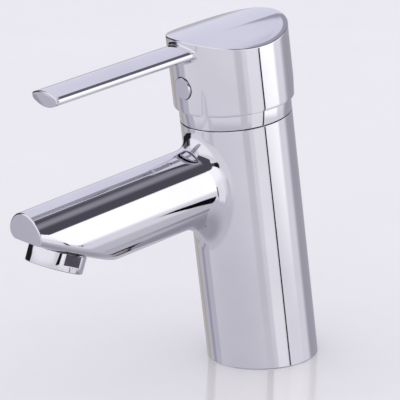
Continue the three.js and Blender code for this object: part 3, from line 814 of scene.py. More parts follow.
def cap_rings():
    """Rings of points over the outside of the cap and then under its roof, and how many of them
    are outside."""
    angles = round_the_axis(CAP_FACETS)
    c, s = np.cos(angles), np.sin(angles)
    behind = eased((s - RELIEF_START) / (1 - RELIEF_START))
    rings = []

    def ring(radius, height):
        rings.append(np.stack([radius * c, radius * s, height + 0 * c], axis=1))

    def relief(height):
        return RELIEF_DEPTH * behind * eased(1 - (height - CAP_LOW) / RELIEF_HEIGHT)

    for k in range(5):
        t = k / 4 * math.pi / 2
        height = CAP_LOW + FOOT_EDGE * (1 - math.sin(t))
        ring(CAP_R - FOOT_EDGE * (1 - math.cos(t)) - relief(height), height)
    rings.reverse()
    for height in np.linspace(CAP_LOW + FOOT_EDGE, CAP_LOW + RELIEF_HEIGHT, 10)[1:]:
        ring(CAP_R - relief(height), height)
    rim = crown(CAP_R * c)
    for share in np.linspace(0, 1, 14)[1:]:
        start = CAP_LOW + RELIEF_HEIGHT
        ring(CAP_R, start + share * (rim - 1.6 * ROLLED_EDGE - start))
    # the rolled edge turns from the wall's direction to the roof's, which differs round the cap
    slope = CAP_R * c / np.sqrt(CROWN_R ** 2 - (CAP_R * c) ** 2)
    lean_in = np.arctan(slope * c)
    finish = math.pi / 2 - lean_in
    inner = CAP_R - ROLLED_EDGE
    base = crown(inner * c) - ROLLED_EDGE * (np.sin(finish) - np.cos(finish) * np.tan(lean_in))
    for k in range(0, 7):
        t = k / 6 * finish
        ring(inner + ROLLED_EDGE * np.cos(t), base + ROLLED_EDGE * np.sin(t))
    last = inner + ROLLED_EDGE * np.cos(finish)
    for share in np.linspace(1, 0, 14)[1:-1]:
        ring(last * share, crown(last * share * c))
    outside = len(rings)
    for share in np.linspace(0, 1, 8)[1:]:
        ring(CAP_IN_R * share, crown(CAP_IN_R * share * c) - ROOF)
    for height in (CAP_LOW + SKIRT_INSIDE, CAP_LOW + FOOT_EDGE, CAP_LOW):
        ring(CAP_IN_R + (0.1 if height == CAP_LOW else 0), height)
    return rings, outside


print(len(cap_rings()[0]), "rings of", CAP_FACETS, "points")

# %% [markdown]
# The rings become quads. A fan of triangles closes the middle of the roof above and below, and the
# last ring inside the skirt is joined to the first one at its foot.


# %% Close the cap's shell
def shifted(faces, by):
    """The same faces, for points that come later in the list by this many."""
    return [tuple(i + by for i in face) for face in faces]


def cap_mesh():
    """The cap's shell as points and faces, before it is drilled."""
    rings, outside = cap_rings()
    points = [tuple(p) for ring in rings for p in ring]
    n = CAP_FACETS
    faces = ring_faces(outside, n) + shifted(ring_faces(len(rings) - outside, n), outside * n)
    for first, height, flip in ((outside - 1, CAP_TOP, False), (outside, CAP_TOP - ROOF, True)):
        points.append((0.0, 0.0, height))
        middle = len(points) - 1
        for j in range(n):
            a, b = first * n + j, first * n + (j + 1) % n
            faces.append((b, a, middle) if flip else (a, b, middle))
    last = (len(rings) - 1) * n
    faces += [(last + j, last + (j + 1) % n, (j + 1) % n, j) for j in range(n)]
    return points, faces


cap_points, cap_faces = cap_mesh()
print("cap shell", len(cap_points), "points")

# %% [markdown]
# A round window in front of the cap lets a hex key reach the set screw. It is drilled, so here a
# drill-shaped solid is taken out of the shell with an exact Boolean, and the plug that closes it
# is made a little smaller, which leaves the fine dark circle.

# %% Drill the cap
PLUG_R, PLUG_GAP, PLUG_AT = 4.75, 0.28, CAP_LOW + 11.6
DRILL_FACETS = 72
DRILL_FROM, DRILL_TO = -15.0, -35.0


def evaluated_mesh(thing):
    """Points and faces of an object as its modifiers leave it."""
    graph = bpy.context.evaluated_depsgraph_get()
    result = bpy.data.meshes.new_from_object(thing.evaluated_get(graph))
    return [tuple(v.co) for v in result.vertices], [tuple(p.vertices) for p in result.polygons]


def drilled(points, faces, radius, height):
    """The same shell with a round hole through its front wall."""
    shell = bpy.data.meshes.new("shell")
    shell.from_pydata(points, [], faces)
    work = bpy.data.objects.new("shell", shell)
    n = DRILL_FACETS
    drill_points = [(radius * math.cos(t), y, height + radius * math.sin(t))
                    for y in (DRILL_FROM, DRILL_TO) for t in round_the_axis(n)]
    drill_faces = ring_faces(2, n) + [tuple(range(n))[::-1], tuple(range(n, 2 * n))]
    bit = bpy.data.meshes.new("drill")
    bit.from_pydata(drill_points, [], drill_faces)
    drill = bpy.data.objects.new("drill", bit)
    for thing in (work, drill):
        bpy.context.scene.collection.objects.link(thing)
        tidy = bmesh.new()
        tidy.from_mesh(thing.data)
        bmesh.ops.recalc_face_normals(tidy, faces=tidy.faces[:])
        tidy.to_mesh(thing.data)
        tidy.free()
    cutter = work.modifiers.new("drill", "BOOLEAN")
    cutter.operation, cutter.solver, cutter.object = "DIFFERENCE", "EXACT", drill
    result = evaluated_mesh(work)
    for thing in (work, drill):
        bpy.data.objects.remove(thing)
    return result


cap_shell = shown("cap_shell", *drilled(cap_points, cap_faces, PLUG_R + PLUG_GAP, PLUG_AT),
                  "polished_chrome", "handle", ["handle_cap"])

# %% [markdown]
# Plating only reaches the outside of such a cap. Inside, the metal is coloured dark grey and matt as
# painted shade for the cap's hollow.
# So the faces inside the skirt and under the roof get a second material, the painted shade.

# %% Painted shade inside the cap
CAST_GRAIN = 0.5   # mm
# the dark grey of this second material is painted shade in the cap's hollow
cap_shell.data.materials.append(metal("cap_inside_painted_shade", "#2B2A2C", "#353436", 0.6, 0.8,
                                      CAST_GRAIN, (1.0, 1.0, 1.0)))
# faces inside the skirt and under the roof get the painted shade
for face in cap_shell.data.polygons:
    side, back, up = (LEANING @ np.array(face.center)) / MM
    inward = np.array(face.normal) @ LEANING.T @ (side, back, 0) < 0
    under_roof = np.array(face.normal) @ UP < -0.5 and up > CAP_LOW + 1
    face.material_index = int(math.hypot(side, back) < CAP_IN_R + 0.3 and (inward or under_roof)
                              and up < crown(side) - ROOF + 0.2)
print(sum(face.material_index for face in cap_shell.data.polygons), "bare faces in the cap")

# %% [markdown]
# ## Plug
# The plug is a little turned button that is pressed into the window. Its face is flat and stands
# just proud of the cap, so its rim catches a bright and a dark crescent. Rings of points spread from
# the middle of the face to a tiny broken edge, then go straight back into the hole.

# %% Plug
PLUG_FACETS = 72
PLUG_PROUD = 0.75
PLUG_EDGE = 0.18
PLUG_SKIRT = 3.5
plug_outline = [(PLUG_R * 0.5, 0.0), (PLUG_R - 2 * PLUG_EDGE, 0.0)]
for k in range(4):
    t = k / 3 * math.pi / 2
    plug_outline.append((PLUG_R - PLUG_EDGE * (1 - math.sin(t)), PLUG_EDGE * (1 - math.cos(t))))
plug_outline += [(PLUG_R, 0.6), (PLUG_R, PLUG_SKIRT)]
plug_points = [(radius * math.cos(t), -CAP_R - PLUG_PROUD + sunk, PLUG_AT + radius * math.sin(t))
               for radius, sunk in plug_outline for t in round_the_axis(PLUG_FACETS)]
plug_faces = [face[::-1] for face in ring_faces(len(plug_outline), PLUG_FACETS)]
plug_faces.append(tuple(range(PLUG_FACETS)))
last_ring = (len(plug_outline) - 1) * PLUG_FACETS
plug_faces.append(tuple(last_ring + j for j in range(PLUG_FACETS))[::-1])
shown("plug_face", plug_points, plug_faces, "polished_chrome", "handle", ["indicator_plug"])

# %% [markdown]
# ## Lever
# A flat bar, lens-shaped in section: low square sides with a shallow crown above and below. The
# polisher rounds its long edges, and a small hollow fillet joins it to the cap. The section is
# carried along the bar. Near the cap it follows the cap's curve and swells by the fillet, and at
# the far end it draws in by the width of the broken edge.

# %% Lever
LEVER_HALF, LEVER_REACH = 8.7, 95.2
LEVER_SIDE_LOW, LEVER_SIDE_HIGH = CAP_LOW + 26.1, CAP_LOW + 28.5
LEVER_TOP, LEVER_BOTTOM = CAP_LOW + 30.5, CAP_LOW + 23.5
LEVER_MIDDLE = (LEVER_SIDE_LOW + LEVER_SIDE_HIGH) / 2
LEVER_EDGE = 0.6
LEVER_FILLET = 1.2
LEVER_END = 0.55


def lever_section(across=25, steps=5):
    """Outline points and their outward directions, anticlockwise in x and height."""
    def arch(x, side, middle):
        return middle + (side - middle) * (x / LEVER_HALF) ** 2

    xs = np.linspace(-LEVER_HALF + LEVER_EDGE * 1.4, LEVER_HALF - LEVER_EDGE * 1.4, across)
    corners = [(LEVER_HALF, LEVER_SIDE_HIGH), (-LEVER_HALF, LEVER_SIDE_HIGH),
               (-LEVER_HALF, LEVER_SIDE_LOW), (LEVER_HALF, LEVER_SIDE_LOW)]
    outline = []
    for i, (cx, cz) in enumerate(corners):
        inner_x = cx - math.copysign(LEVER_EDGE, cx)
        inner_z = cz - math.copysign(LEVER_EDGE, cz - LEVER_MIDDLE)
        arch_rise = LEVER_TOP - LEVER_SIDE_HIGH if i < 2 else LEVER_SIDE_LOW - LEVER_BOTTOM
        rise = math.pi / 2 - math.atan(2 * arch_rise / LEVER_HALF)
        start, end = ((0, rise), (math.pi - rise, math.pi), (math.pi, math.pi + rise),
                      (2 * math.pi - rise, 2 * math.pi))[i]
        for t in np.linspace(start, end, steps + 1):
            outline.append((inner_x + LEVER_EDGE * math.cos(t),
                            inner_z + LEVER_EDGE * math.sin(t)))
        if i == 0:
            outline += [(x, arch(x, LEVER_SIDE_HIGH, LEVER_TOP)) for x in xs[::-1]]
        if i == 2:
            outline += [(x, arch(x, LEVER_SIDE_LOW, LEVER_BOTTOM)) for x in xs]
        if i in (1, 3):
            outline.append((cx, LEVER_MIDDLE))
    outline = np.array(outline)
    ahead = np.roll(outline, -1, axis=0) - np.roll(outline, 1, axis=0)
    facing = np.stack([ahead[:, 1], -ahead[:, 0]], axis=1)
    return outline, facing / np.linalg.norm(facing, axis=1, keepdims=True)


lever_outline, lever_facing = lever_section()
lever_n = len(lever_outline)
print("the section has", lever_n, "points")

# %% [markdown]
# The section is now repeated along the bar: close together through the fillet, far apart along the
# straight part, and close again round the broken edge at the end.

# %% Carry the section along the lever
LEVER_START = 32.0   # where the straight part begins
FROM_CAP = (-0.6, 0.0, 0.03, 0.1, 0.2, 0.35, 0.55, 0.8, 1.2, 2.5)
END_STEPS = 4
lever_points = []
for d in FROM_CAP:
    away = min(max(d, 0), LEVER_FILLET)
    swell = LEVER_FILLET - math.sqrt(LEVER_FILLET ** 2 - (LEVER_FILLET - away) ** 2)
    grown = lever_outline + lever_facing * swell
    for x, z in grown:
        lever_points.append((x, -math.sqrt(CAP_R ** 2 - x * x) - d, z))
for y in np.linspace(LEVER_START, LEVER_REACH - LEVER_END, 24):
    lever_points += [(x, -y, z) for x, z in lever_outline]
for k in range(1, END_STEPS + 1):
    t = k / END_STEPS * math.pi / 2
    drawn = lever_outline - lever_facing * LEVER_END * (1 - math.cos(t))
    lever_points += [(x, -(LEVER_REACH - LEVER_END * (1 - math.sin(t))), z) for x, z in drawn]
lever_rings = len(lever_points) // lever_n
last_ring = (lever_rings - 1) * lever_n
lever_faces = ring_faces(lever_rings, lever_n)
lever_faces += [tuple(range(lever_n))[::-1], tuple(last_ring + j for j in range(lever_n))]
shown("lever_bar_skin", lever_points, lever_faces, "polished_chrome", "handle", ["lever_bar"])

# %% [markdown]
# ## Aerator
# The aerator's sleeve is turned from brass and plated like the rest. It has a full round rim below
# and two flats above it for the spanner. Its outline is turned about its own tilted axis, and the
# rows above the rim are held inside the flats.

# %% Aerator sleeve
SLEEVE_R, SLEEVE_H, SLEEVE_WALL = 12.25, 7.4, 1.25
SLEEVE_IN_R = SLEEVE_R - SLEEVE_WALL
LIP_R, LIP_H = 9.4, 1.2                 # the lip that holds the insert
SLEEVE_FLAT, FLAT_FROM = 0.9, 2.6       # depth of the flats, and the height where they begin
FLAT_STEP = 0.06                        # how sharply they begin
sleeve_outline = softened([
    (LIP_R, 0.0, 0.25), (SLEEVE_R, 0.0, 0.45), (SLEEVE_R, SLEEVE_H, 0.2),
    (SLEEVE_IN_R, SLEEVE_H, 0.1), (SLEEVE_IN_R, LIP_H, 0.0), (LIP_R, LIP_H, 0.2)])
wall_top = next(i for i, (r, h) in enumerate(sleeve_outline) if h > FLAT_FROM + FLAT_STEP)
sleeve_outline[wall_top:wall_top] = [np.array([SLEEVE_R, h])
                                     for h in (FLAT_FROM, FLAT_FROM + FLAT_STEP)]
sleeve_points, sleeve_faces = turned_ring(sleeve_outline, 192)
held = []
for x, y, z in sleeve_points:
    limit = SLEEVE_R - SLEEVE_FLAT if z > FLAT_FROM + FLAT_STEP / 2 else SLEEVE_R
    if abs(x) > limit and math.hypot(x, y) > SLEEVE_IN_R + 0.05:
        x = math.copysign(limit, x)
    held.append((x, y, z))
shown("aerator_sleeve", from_outlet(held), sleeve_faces, "polished_chrome", "body",
      ["aerator_housing"])

# %% [markdown]
# ## Outlet grid, screens and stud thread
# These are the parts of the tap that repeat: the honeycomb that straightens the water, the woven
# steel screens that break it up, and the stud's screw thread. Each is a small Geometry Nodes tree
# with its sizes as named inputs. The result is turned into a plain mesh at once.


# %% Geometry Nodes helpers
def new_tree(name, inputs):
    """A Geometry Nodes tree with number inputs and one geometry output."""
    tree = bpy.data.node_groups.new(name, "GeometryNodeTree")
    tree.interface.new_socket("Geometry", in_out="OUTPUT", socket_type="NodeSocketGeometry")
    for label, value in inputs.items():
        socket = tree.interface.new_socket(label, in_out="INPUT", socket_type="NodeSocketFloat")
        socket.default_value = value
    return tree, add(tree, "NodeGroupInput").outputs


def close_tree(tree, geometry, material):
    """Ends the tree with real geometry that carries its material."""
    realised = add(tree, "GeometryNodeRealizeInstances", links={"Geometry": geometry})
    coated = add(tree, "GeometryNodeSetMaterial", {"Material": material},
                 {"Geometry": realised.outputs[0]})
    add(tree, "NodeGroupOutput", links={0: coated.outputs[0]})


def grown_mesh(tree, values, name):
    """Runs the tree with these input values. Gives its result as plain points and faces."""
    holder = bpy.data.objects.new(name, bpy.data.meshes.new(name))
    bpy.context.scene.collection.objects.link(holder)
    modifier = holder.modifiers.new(name, "NODES")
    modifier.node_group = tree
    for item in tree.interface.items_tree:
        if item.in_out == "INPUT" and item.name in values:
            modifier[item.identifier] = values[item.name]
    points, faces = evaluated_mesh(holder)
    bpy.data.objects.remove(holder)
    return np.array(points), faces


def worked_out(tree, operation, *values):
    """The result of a sum on numbers and sockets, as a Math node."""
    numbers = {i: value for i, value in enumerate(values) if isinstance(value, (int, float))}
    sockets = {i: value for i, value in enumerate(values) if i not in numbers}
    return add(tree, "ShaderNodeMath", {"operation": operation, **numbers}, sockets).outputs[0]


print("geometry node helpers ready")

# %% [markdown]
# The honeycomb is a grid of points with every second row moved half a pitch along. Points outside
# the circle are deleted, and each one left gets a six-sided tube that touches its neighbours.


# %% Honeycomb outlet grid
def honeycomb_tree():
    """Six-sided tubes on a honeycomb of points, kept inside a circle."""
    tree, given = new_tree("honeycomb", {"Pitch": 1.9, "Radius": 7.0, "Wall": 0.3, "Depth": 2.0})
    count = 13
    size = worked_out(tree, "MULTIPLY", given["Pitch"], float(count - 1))
    deep = worked_out(tree, "MULTIPLY", size, math.sin(math.pi / 3))
    grid = add(tree, "GeometryNodeMeshGrid", {"Vertices X": count, "Vertices Y": count},
               {"Size X": size, "Size Y": deep})
    index = add(tree, "GeometryNodeInputIndex")
    row = worked_out(tree, "MODULO", index.outputs[0], float(count))
    odd = worked_out(tree, "MODULO", row, 2.0)
    shift = worked_out(tree, "MULTIPLY", worked_out(tree, "MULTIPLY", odd, 0.5), given["Pitch"])
    move = add(tree, "ShaderNodeCombineXYZ", links={"X": shift})
    moved = add(tree, "GeometryNodeSetPosition",
                links={"Geometry": grid.outputs["Mesh"], "Offset": move.outputs[0]})
    place = add(tree, "GeometryNodeInputPosition")
    length = add(tree, "ShaderNodeVectorMath", {"operation": "LENGTH"}, {0: place.outputs[0]})
    outside = add(tree, "FunctionNodeCompare", {"operation": "GREATER_THAN"},
                  {0: length.outputs["Value"], 1: given["Radius"]})
    kept = add(tree, "GeometryNodeDeleteGeometry",
               links={"Geometry": moved.outputs[0], "Selection": outside.outputs[0]})
    cell_r = worked_out(tree, "MULTIPLY", given["Pitch"], 1 / math.sqrt(3))
    hexagon = add(tree, "GeometryNodeCurvePrimitiveCircle", {"Resolution": 6}, {"Radius": cell_r})
    strip = add(tree, "GeometryNodeCurvePrimitiveQuadrilateral", links={
        "Width": given["Wall"], "Height": given["Depth"]})
    cell = add(tree, "GeometryNodeCurveToMesh",
               links={"Curve": hexagon.outputs[0], "Profile Curve": strip.outputs[0]})
    turned_cell = add(tree, "GeometryNodeTransform", {"Rotation": (0, 0, math.pi / 6)},
                      {"Geometry": cell.outputs[0]})
    copies = add(tree, "GeometryNodeInstanceOnPoints", links={
        "Points": kept.outputs[0], "Instance": turned_cell.outputs[0]})
    close_tree(tree, copies.outputs[0], FINISHES["white_plastic"])
    return tree


CUP_BORE, CUP_R, FLANGE_R = 7.2, 8.5, 10.7
CUP_LOW, FLANGE_LOW, FLANGE_HIGH, CUP_TOP = 0.5, 1.5, 2.7, 11.4
COMB_AT = 1.2
comb_points, comb_faces = grown_mesh(
    honeycomb_tree(), {"Pitch": 1.9, "Radius": 6.9, "Wall": 0.3, "Depth": 1.4}, "honeycomb")
cup_points, cup_faces = turned_ring(softened([
    (CUP_BORE, CUP_LOW, 0.2), (CUP_R, CUP_LOW, 0.3), (CUP_R, FLANGE_LOW, 0),
    (FLANGE_R, FLANGE_LOW, 0), (FLANGE_R, FLANGE_HIGH, 0), (CUP_R, FLANGE_HIGH, 0),
    (CUP_R, CUP_TOP, 0.2), (CUP_BORE, CUP_TOP, 0.2)]), 96)
insert_points = np.vstack([cup_points, comb_points + (0, 0, COMB_AT)])
shown("aerator_grid", from_outlet(insert_points), cup_faces + shifted(comb_faces, len(cup_points)),
      "white_plastic", "body", ["aerator_insert"])

# %% [markdown]
# A woven screen is two sets of wires. One set is made here: straight lines across a circle, lifted
# and lowered in a wave, then given a round section. The second set is the same, turned a quarter
# and over, so that it goes under where the first goes over.


# %% Woven screens
def weave_tree():
    """Wires side by side, each a wave over and under the wires that cross it."""
    tree, given = new_tree("woven_wires", {"Pitch": 0.7, "Radius": 6.8, "Wire": 0.11})
    half = worked_out(tree, "DIVIDE", given["Radius"], given["Pitch"])
    rows = worked_out(tree, "FLOOR", half)
    count = worked_out(tree, "ADD", worked_out(tree, "MULTIPLY", rows, 2.0), 1.0)
    low = worked_out(tree, "MULTIPLY", worked_out(tree, "MULTIPLY", rows, given["Pitch"]), -1.0)
    start = add(tree, "ShaderNodeCombineXYZ", links={"Y": low})
    step = add(tree, "ShaderNodeCombineXYZ", links={"Y": given["Pitch"]})
    line = add(tree, "GeometryNodeMeshLine", links={
        "Count": count, "Start Location": start.outputs[0], "Offset": step.outputs[0]})
    place = add(tree, "GeometryNodeInputPosition")
    parts = add(tree, "ShaderNodeSeparateXYZ", links={0: place.outputs[0]})
    radius_2 = worked_out(tree, "MULTIPLY", given["Radius"], given["Radius"])
    y_2 = worked_out(tree, "MULTIPLY", parts.outputs["Y"], parts.outputs["Y"])
    reach = worked_out(tree, "SQRT", worked_out(tree, "SUBTRACT", radius_2, y_2))
    stretch = add(tree, "ShaderNodeCombineXYZ", {"Y": 1.0, "Z": 1.0}, {"X": reach})
    unit = add(tree, "GeometryNodeCurvePrimitiveLine", {"Start": (-1, 0, 0), "End": (1, 0, 0)})
    wires = add(tree, "GeometryNodeInstanceOnPoints", links={
        "Points": line.outputs[0], "Instance": unit.outputs[0], "Scale": stretch.outputs[0]})
    loose = add(tree, "GeometryNodeRealizeInstances", links={"Geometry": wires.outputs[0]})
    finer = worked_out(tree, "DIVIDE", given["Pitch"], 4.0)
    fine = add(tree, "GeometryNodeResampleCurve", {"mode": "LENGTH"},
               {"Curve": loose.outputs[0], "Length": finer})
    turns = worked_out(tree, "DIVIDE", worked_out(tree, "MULTIPLY", parts.outputs["X"], math.pi),
                       given["Pitch"])
    phase = worked_out(tree, "MULTIPLY",
                       worked_out(tree, "DIVIDE", parts.outputs["Y"], given["Pitch"]), math.pi)
    wave = worked_out(tree, "COSINE", worked_out(tree, "ADD", turns, phase))
    lift = add(tree, "ShaderNodeCombineXYZ",
               links={"Z": worked_out(tree, "MULTIPLY", wave, given["Wire"])})
    waved = add(tree, "GeometryNodeSetPosition",
                links={"Geometry": fine.outputs[0], "Offset": lift.outputs[0]})
    round_wire = add(tree, "GeometryNodeCurvePrimitiveCircle", {"Resolution": 5},
                     {"Radius": given["Wire"]})
    solid = add(tree, "GeometryNodeCurveToMesh", {"Fill Caps": True}, {
        "Curve": waved.outputs[0], "Profile Curve": round_wire.outputs[0]})
    close_tree(tree, solid.outputs[0], FINISHES["stainless_steel"])
    return tree


warp, warp_faces = grown_mesh(weave_tree(), {"Pitch": 0.7, "Radius": 6.85, "Wire": 0.11}, "screen")
weft = np.stack([-warp[:, 1], warp[:, 0], -warp[:, 2]], axis=1)
screen = np.vstack([warp, weft])
# turning the warp over to make the weft turns its faces inside out, so they are put back
screen_faces = warp_faces + shifted([face[::-1] for face in warp_faces], len(warp))
for screen_name, node_name, screen_at in (("outlet_screen", "aerator_screen", 6.65),
                                          ("inlet_screen_mesh", "inlet_screen", 10.95)):
    shown(screen_name, from_outlet(screen + (0, 0, screen_at)), screen_faces, "stainless_steel",
          "body", [node_name], corner=180)

# %% [markdown]
# The stud's thread is rolled, so its ridges stand proud of the bar. Here a four-sided ridge is wound
# round a thinner core along a spiral of the thread's real pitch, and the core is turned.


# %% Stud with a rolled thread
def thread_tree():
    """A ridge wound round a core."""
    tree, given = new_tree("screw_thread", {
        "Pitch": 1.25, "Radius": 4.0, "Length": 100.0, "Depth": 0.7})
    turns = worked_out(tree, "DIVIDE", given["Length"], given["Pitch"])
    core = worked_out(tree, "SUBTRACT", given["Radius"], given["Depth"])
    helix = add(tree, "GeometryNodeCurveSpiral", {"Resolution": 24}, {
        "Rotations": turns, "Start Radius": core, "End Radius": core, "Height": given["Length"]})
    ridge = add(tree, "GeometryNodeCurvePrimitiveCircle", {"Resolution": 4},
                {"Radius": given["Depth"]})
    wound = add(tree, "GeometryNodeCurveToMesh", {"Fill Caps": True}, {
        "Curve": helix.outputs[0], "Profile Curve": ridge.outputs[0]})
    close_tree(tree, wound.outputs[0], FINISHES["stainless_steel"])
    return tree


STUD_R, STUD_LOW, STUD_HIGH, STUD_BACK = 4.0, -62.0, 68.7, 8.0
STUD_DEPTH = 0.6
PLAIN_END = 1.2        # mm at each end with no thread
CENTRE_HOLE = 0.3      # mm, radius of the lathe's centre mark
CHAMFER = 0.8
thread_points, thread_faces = grown_mesh(thread_tree(), {
    "Pitch": 1.25, "Radius": STUD_R, "Length": STUD_HIGH - STUD_LOW - 2 * PLAIN_END,
    "Depth": STUD_DEPTH}, "thread")
core_r = STUD_R - STUD_DEPTH
core_points, core_faces = turned_ring(softened([
    (CENTRE_HOLE, STUD_LOW, 0), (core_r, STUD_LOW, CHAMFER),
    (core_r, STUD_HIGH, CHAMFER), (CENTRE_HOLE, STUD_HIGH, 0)]), 32)
thread_points += (0, 0, STUD_LOW + PLAIN_END)
stud_points = np.vstack([core_points, thread_points]) + (0, STUD_BACK, 0)
shown("threaded_stud", stud_points, core_faces + shifted(thread_faces, len(core_points)),
      "stainless_steel", "body", ["mounting_stud"], axes=np.identity(3))

# %% [markdown]
# ## Studio
# Chrome has no colour of its own: it shows the room. So the room is the picture. The tap stands on a
# plain pale glazed floor under an even white sky. Around it is a tent of big soft panels, as a
# photographer of cutlery or taps would hang: white walls, a dark ceiling flap that gives the spout
# its dark upper band, and a few narrow black strips that draw the crisp lines along the column.
# The tent is one large sphere that only reflections can see, so it never shows behind the tap.

# %% Floor
FLOOR = 3.0           # metres from the middle to each side
GLAZE_CLOUD = 60.0    # mm, size of the slow changes in the glaze's colour
GLAZE_RIPPLE = 25.0   # mm, and in its gloss
floor_material, floor_tree = new_material("pale_glazed_ceramic")
floor_coords = add(floor_tree, "ShaderNodeTexCoord")
floor_shader = add(floor_tree, "ShaderNodeBsdfPrincipled", {"IOR": 1.5}, {
    "Base Color": tinted(floor_tree, vary(floor_tree, floor_coords, GLAZE_CLOUD, 0.0, 1.0),
                         "#F3F1F3", "#F6F4F6"),
    "Roughness": vary(floor_tree, floor_coords, GLAZE_RIPPLE, 0.08, 0.12),
})
finish_material(floor_tree, floor_shader)


def staged(name, points, faces, material):
    """A piece of the studio, in metres, which is no part of the tap."""
    mesh = bpy.data.meshes.new(name)
    mesh.from_pydata(points, [], faces)
    mesh.materials.append(material)
    thing = bpy.data.objects.new(name, mesh)
    bpy.context.scene.collection.objects.link(thing)
    return thing


floor_corners = [(-FLOOR, -FLOOR, 0), (FLOOR, -FLOOR, 0), (FLOOR, FLOOR, 0), (-FLOOR, FLOOR, 0)]
floor = staged("floor", floor_corners, [(0, 1, 2, 3)], floor_material)
floor.visible_glossy = False
print("floor", 2 * FLOOR, "m square")

# %% [markdown]
# ### The tent's panels
# Each panel is placed by the direction that it fills, in degrees: round the tap from the camera
# (positive to the right), and up from level. Its shade is the grey that polished chrome shows when
# it reflects the panel. Later panels hang in front of earlier ones.

# A panel that leans has its middle further round at its top than at its bottom, by that many
# degrees for each degree up.

# %% The list of panels
PLAIN_TENT = "#CBCAD0"   # what the chrome shows where no panel hangs
PANELS = [
    # name, middle, half width, low, high, edge softness, lean, shade
    ("floor sheet", 0, 200, -100, -24, 14, 0, "#B3B2BA"),
    ("floor under the tap", 0, 200, -100, -52, 30, 0, "#94939B"),
    ("left wall", -60, 55, 12, 62, 16, 0, "#E3E2E6"),
    ("back wall", 175, 37, 2, 75, 10, 0, "#C9C9D6"),
    ("right back wall", 141, 26, -30, 50, 14, 0, "#95949C"),
    ("left back wall", -155, 33, -40, 6, 10, 0, "#A4A3A9"),
    ("left dark wall", -134, 22, 6, 44, 6, 0, "#5A5960"),
    ("left doorway", -128, 6, 7, 38, 3, 0, "#242428"),
    ("left doorway foot", -135, 28, -12, 11, 4, 0, "#1C1C20"),
    ("left grey card", -121, 23, -40, -12, 5, 0, "#ABA9B4"),
    ("left grey strip", -120, 5, -40, -12, 4, 0, "#93919C"),
    ("warm strip", -144, 5, -26, -10, 4, 0, "#A39C8D"),
    ("front grey card", 17, 7, -32, -11, 6, 0, "#B9B8BE"),
    ("front white card", 44, 11, -32, -8, 5, 0, "#D8D7DB"),
    ("right wall", 68, 50, -4, 60, 26, 0, "#F1F0F4"),
    ("right apron", 76, 17, -30, -10, 6, 0, "#CFCED4"),
    ("right soft box", 76, 17, -14.5, 32, 8, 0, "#FDFDFE"),
    ("rear corner", 146.8, 26, 30.5, 56, 0.8, -0.62, "#9592A0"),
    ("ceiling flap", 78, 68, 29, 72, 2.5, 0, "#47464E"),
    ("ceiling glow", 84, 26, 50, 62, 10, 0, "#83828A"),
    ("ceiling edge", 128, 24, 56, 73, 5, 0, "#5A5960"),
    ("flap's sloping edge", 44.6, 11, 23, 32, 1.5, 4.4, "#47464E"),
    ("flap's near corner", 33, 13, 26.5, 33, 2, 0, "#47464E"),
    ("flap's tail", 18, 5.5, 6, 29, 1.5, 1.0, "#47464E"),
    ("camera", 13, 6, 4, 17, 1.5, 0.6, "#151417"),
    ("floor dark sheet", 118, 22, -46, -29, 6, 0, "#77767E"),
    ("black line", 58.7, 1.5, -25, -8, 0.8, 0, "#131316"),
]
print(len(PANELS), "panels")

# %% [markdown]
# The panels are drawn by a material on the inside of the tent's sphere. It turns each direction into
# a bearing and a height in degrees, and lays one panel after another over the plain tent.

# %% Helpers for the panels
CHROME_SHINE = 0.73   # share of the light that the chrome sends back


def shade(hex_colour):
    """The light a panel has to send for chrome to show this grey."""
    return [c / CHROME_SHINE for c in linear(hex_colour)[:3]] + [1.0]


def away_from(tree, angle, middle, goes_round=False):
    """How far an angle is from the middle of a panel, in degrees, the short way round."""
    offset = worked_out(tree, "SUBTRACT", angle, middle)
    if goes_round:
        offset = worked_out(tree, "WRAP", offset, 180.0, -180.0)
    return worked_out(tree, "ABSOLUTE", offset)


def inside_edge(tree, distance, half, soft):
    """1 within half of the middle, 0 outside it, with a soft edge."""
    edge = add(tree, "ShaderNodeMapRange", {
        "interpolation_type": "SMOOTHSTEP", "From Min": half + soft / 2, "From Max": half - soft / 2,
        "To Min": 0.0, "To Max": 1.0}, {"Value": distance})
    return edge.outputs["Result"]


def only_in_reflections(thing):
    """Hides a piece of the studio from everything but mirrors."""
    for sight in ("camera", "diffuse", "transmission", "volume_scatter", "shadow"):
        setattr(thing, "visible_" + sight, False)


print("panel helpers ready")

# %% Hang the panels
tent_material, tent = new_material("white_nylon_tent")
tent_coords = add(tent, "ShaderNodeTexCoord")
direction = add(tent, "ShaderNodeVectorMath", {"operation": "NORMALIZE"},
                {0: tent_coords.outputs["Object"]})
parts = add(tent, "ShaderNodeSeparateXYZ", links={0: direction.outputs[0]})
toward = worked_out(tent, "MULTIPLY", parts.outputs["Y"], -1.0)
bearing = worked_out(tent, "MULTIPLY_ADD", worked_out(tent, "ARCTAN2", parts.outputs["X"], toward),
                     180 / math.pi, -math.degrees(VIEW_AZIMUTH))
height = worked_out(tent, "MULTIPLY", worked_out(tent, "ARCSINE", parts.outputs["Z"]), 180 / math.pi)
glow = None
for label, middle, half, low, high, soft, lean, grey in PANELS:
    mid_height = (low + high) / 2
    upright = worked_out(tent, "MULTIPLY_ADD", height, -lean, lean * mid_height)
    beside = away_from(tent, worked_out(tent, "ADD", bearing, upright), middle, goes_round=True)
    over = away_from(tent, height, mid_height)
    mask = worked_out(tent, "MULTIPLY", inside_edge(tent, beside, half, soft),
                      inside_edge(tent, over, (high - low) / 2, soft))
    mix = add(tent, "ShaderNodeMix", {"data_type": "RGBA"}, {0: mask})
    mix.label = label
    mix.inputs[6].default_value = shade(PLAIN_TENT)
    mix.inputs[7].default_value = shade(grey)
    if glow:
        tent.links.new(glow, mix.inputs[6])
    glow = mix.outputs[2]
light = add(tent, "ShaderNodeEmission", links={"Color": glow})
add(tent, "ShaderNodeOutputMaterial", links={"Surface": light.outputs[0]})
print(len(tent.nodes), "nodes draw the panels")

# %% [markdown]
# The tent itself is one sphere round the whole studio.

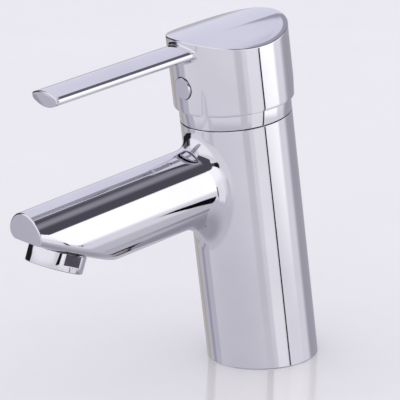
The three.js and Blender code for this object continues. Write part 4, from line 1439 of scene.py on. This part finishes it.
# %% The tent
TENT_R = 2.6   # metres
tent_shape = bmesh.new()
bmesh.ops.create_uvsphere(tent_shape, u_segments=96, v_segments=48, radius=TENT_R)
tent_shape.verts.index_update()
tent_ball = staged("tent", [tuple(vert.co) for vert in tent_shape.verts],
                   [[vert.index for vert in face.verts] for face in tent_shape.faces], tent_material)
tent_shape.free()
only_in_reflections(tent_ball)
print("tent", 2 * TENT_R, "m across")

# %% [markdown]
# ### Two cards beside the tap
# Two small cards stand edge on to the column, so the column does not show them. The spout's lower
# side shows the black one as a sliver, wide at the root and running out to nothing towards the tip,
# and the flat of the aerator shows the grey one.

# %% Cards
CARD_BEARING = math.radians(111.8)
CARD_START = np.array([23.8, -8.0])
CARDS = [
    # shade, then the outline in millimetres: along the card's plane, and height
    ("black_card", "#0C0C0F", [(130, 9), (100, 25.5), (72, 35.5), (47, 47), (38, 51), (15, 47),
                               (31, 39.5), (56, 28.5), (80, 21.5), (102, 16.5)]),
    ("grey_card", "#4B4752", [(295, -72), (375, -72), (375, -44), (295, -44)]),
]
card_way = np.array([math.sin(CARD_BEARING), -math.cos(CARD_BEARING)])


def hung(name, colour, points):
    """A flat card at these points in millimetres, which only reflections can see."""
    card_material, card_tree = new_material(name + "_paper")
    paper = add(card_tree, "ShaderNodeEmission", {"Color": shade(colour)})
    add(card_tree, "ShaderNodeOutputMaterial", links={"Surface": paper.outputs[0]})
    card = staged(name, (np.array(points) * MM).tolist(), [tuple(range(len(points)))], card_material)
    only_in_reflections(card)
    print(name, len(points), "corners")


for card_name, card_shade, outline in CARDS:
    hung(card_name, card_shade,
         [tuple(np.append(CARD_START + along * card_way, up)) for along, up in outline])

# %% [markdown]
# ### Sky
# An even white sky lights everything that isn't a mirror, without a hard shadow.

# %% Sky
SKY_STRENGTH = 1.03
world = bpy.data.worlds.new("white_sky")
world.use_nodes = True
world.node_tree.nodes.clear()
sky = add(world.node_tree, "ShaderNodeBackground", {"Color": linear("#F4F3F7"),
                                                       "Strength": SKY_STRENGTH})
add(world.node_tree, "ShaderNodeOutputWorld", links={"Surface": sky.outputs[0]})
bpy.context.scene.world = world
bpy.context.scene.view_settings.view_transform = "Standard"
print("sky strength", SKY_STRENGTH)
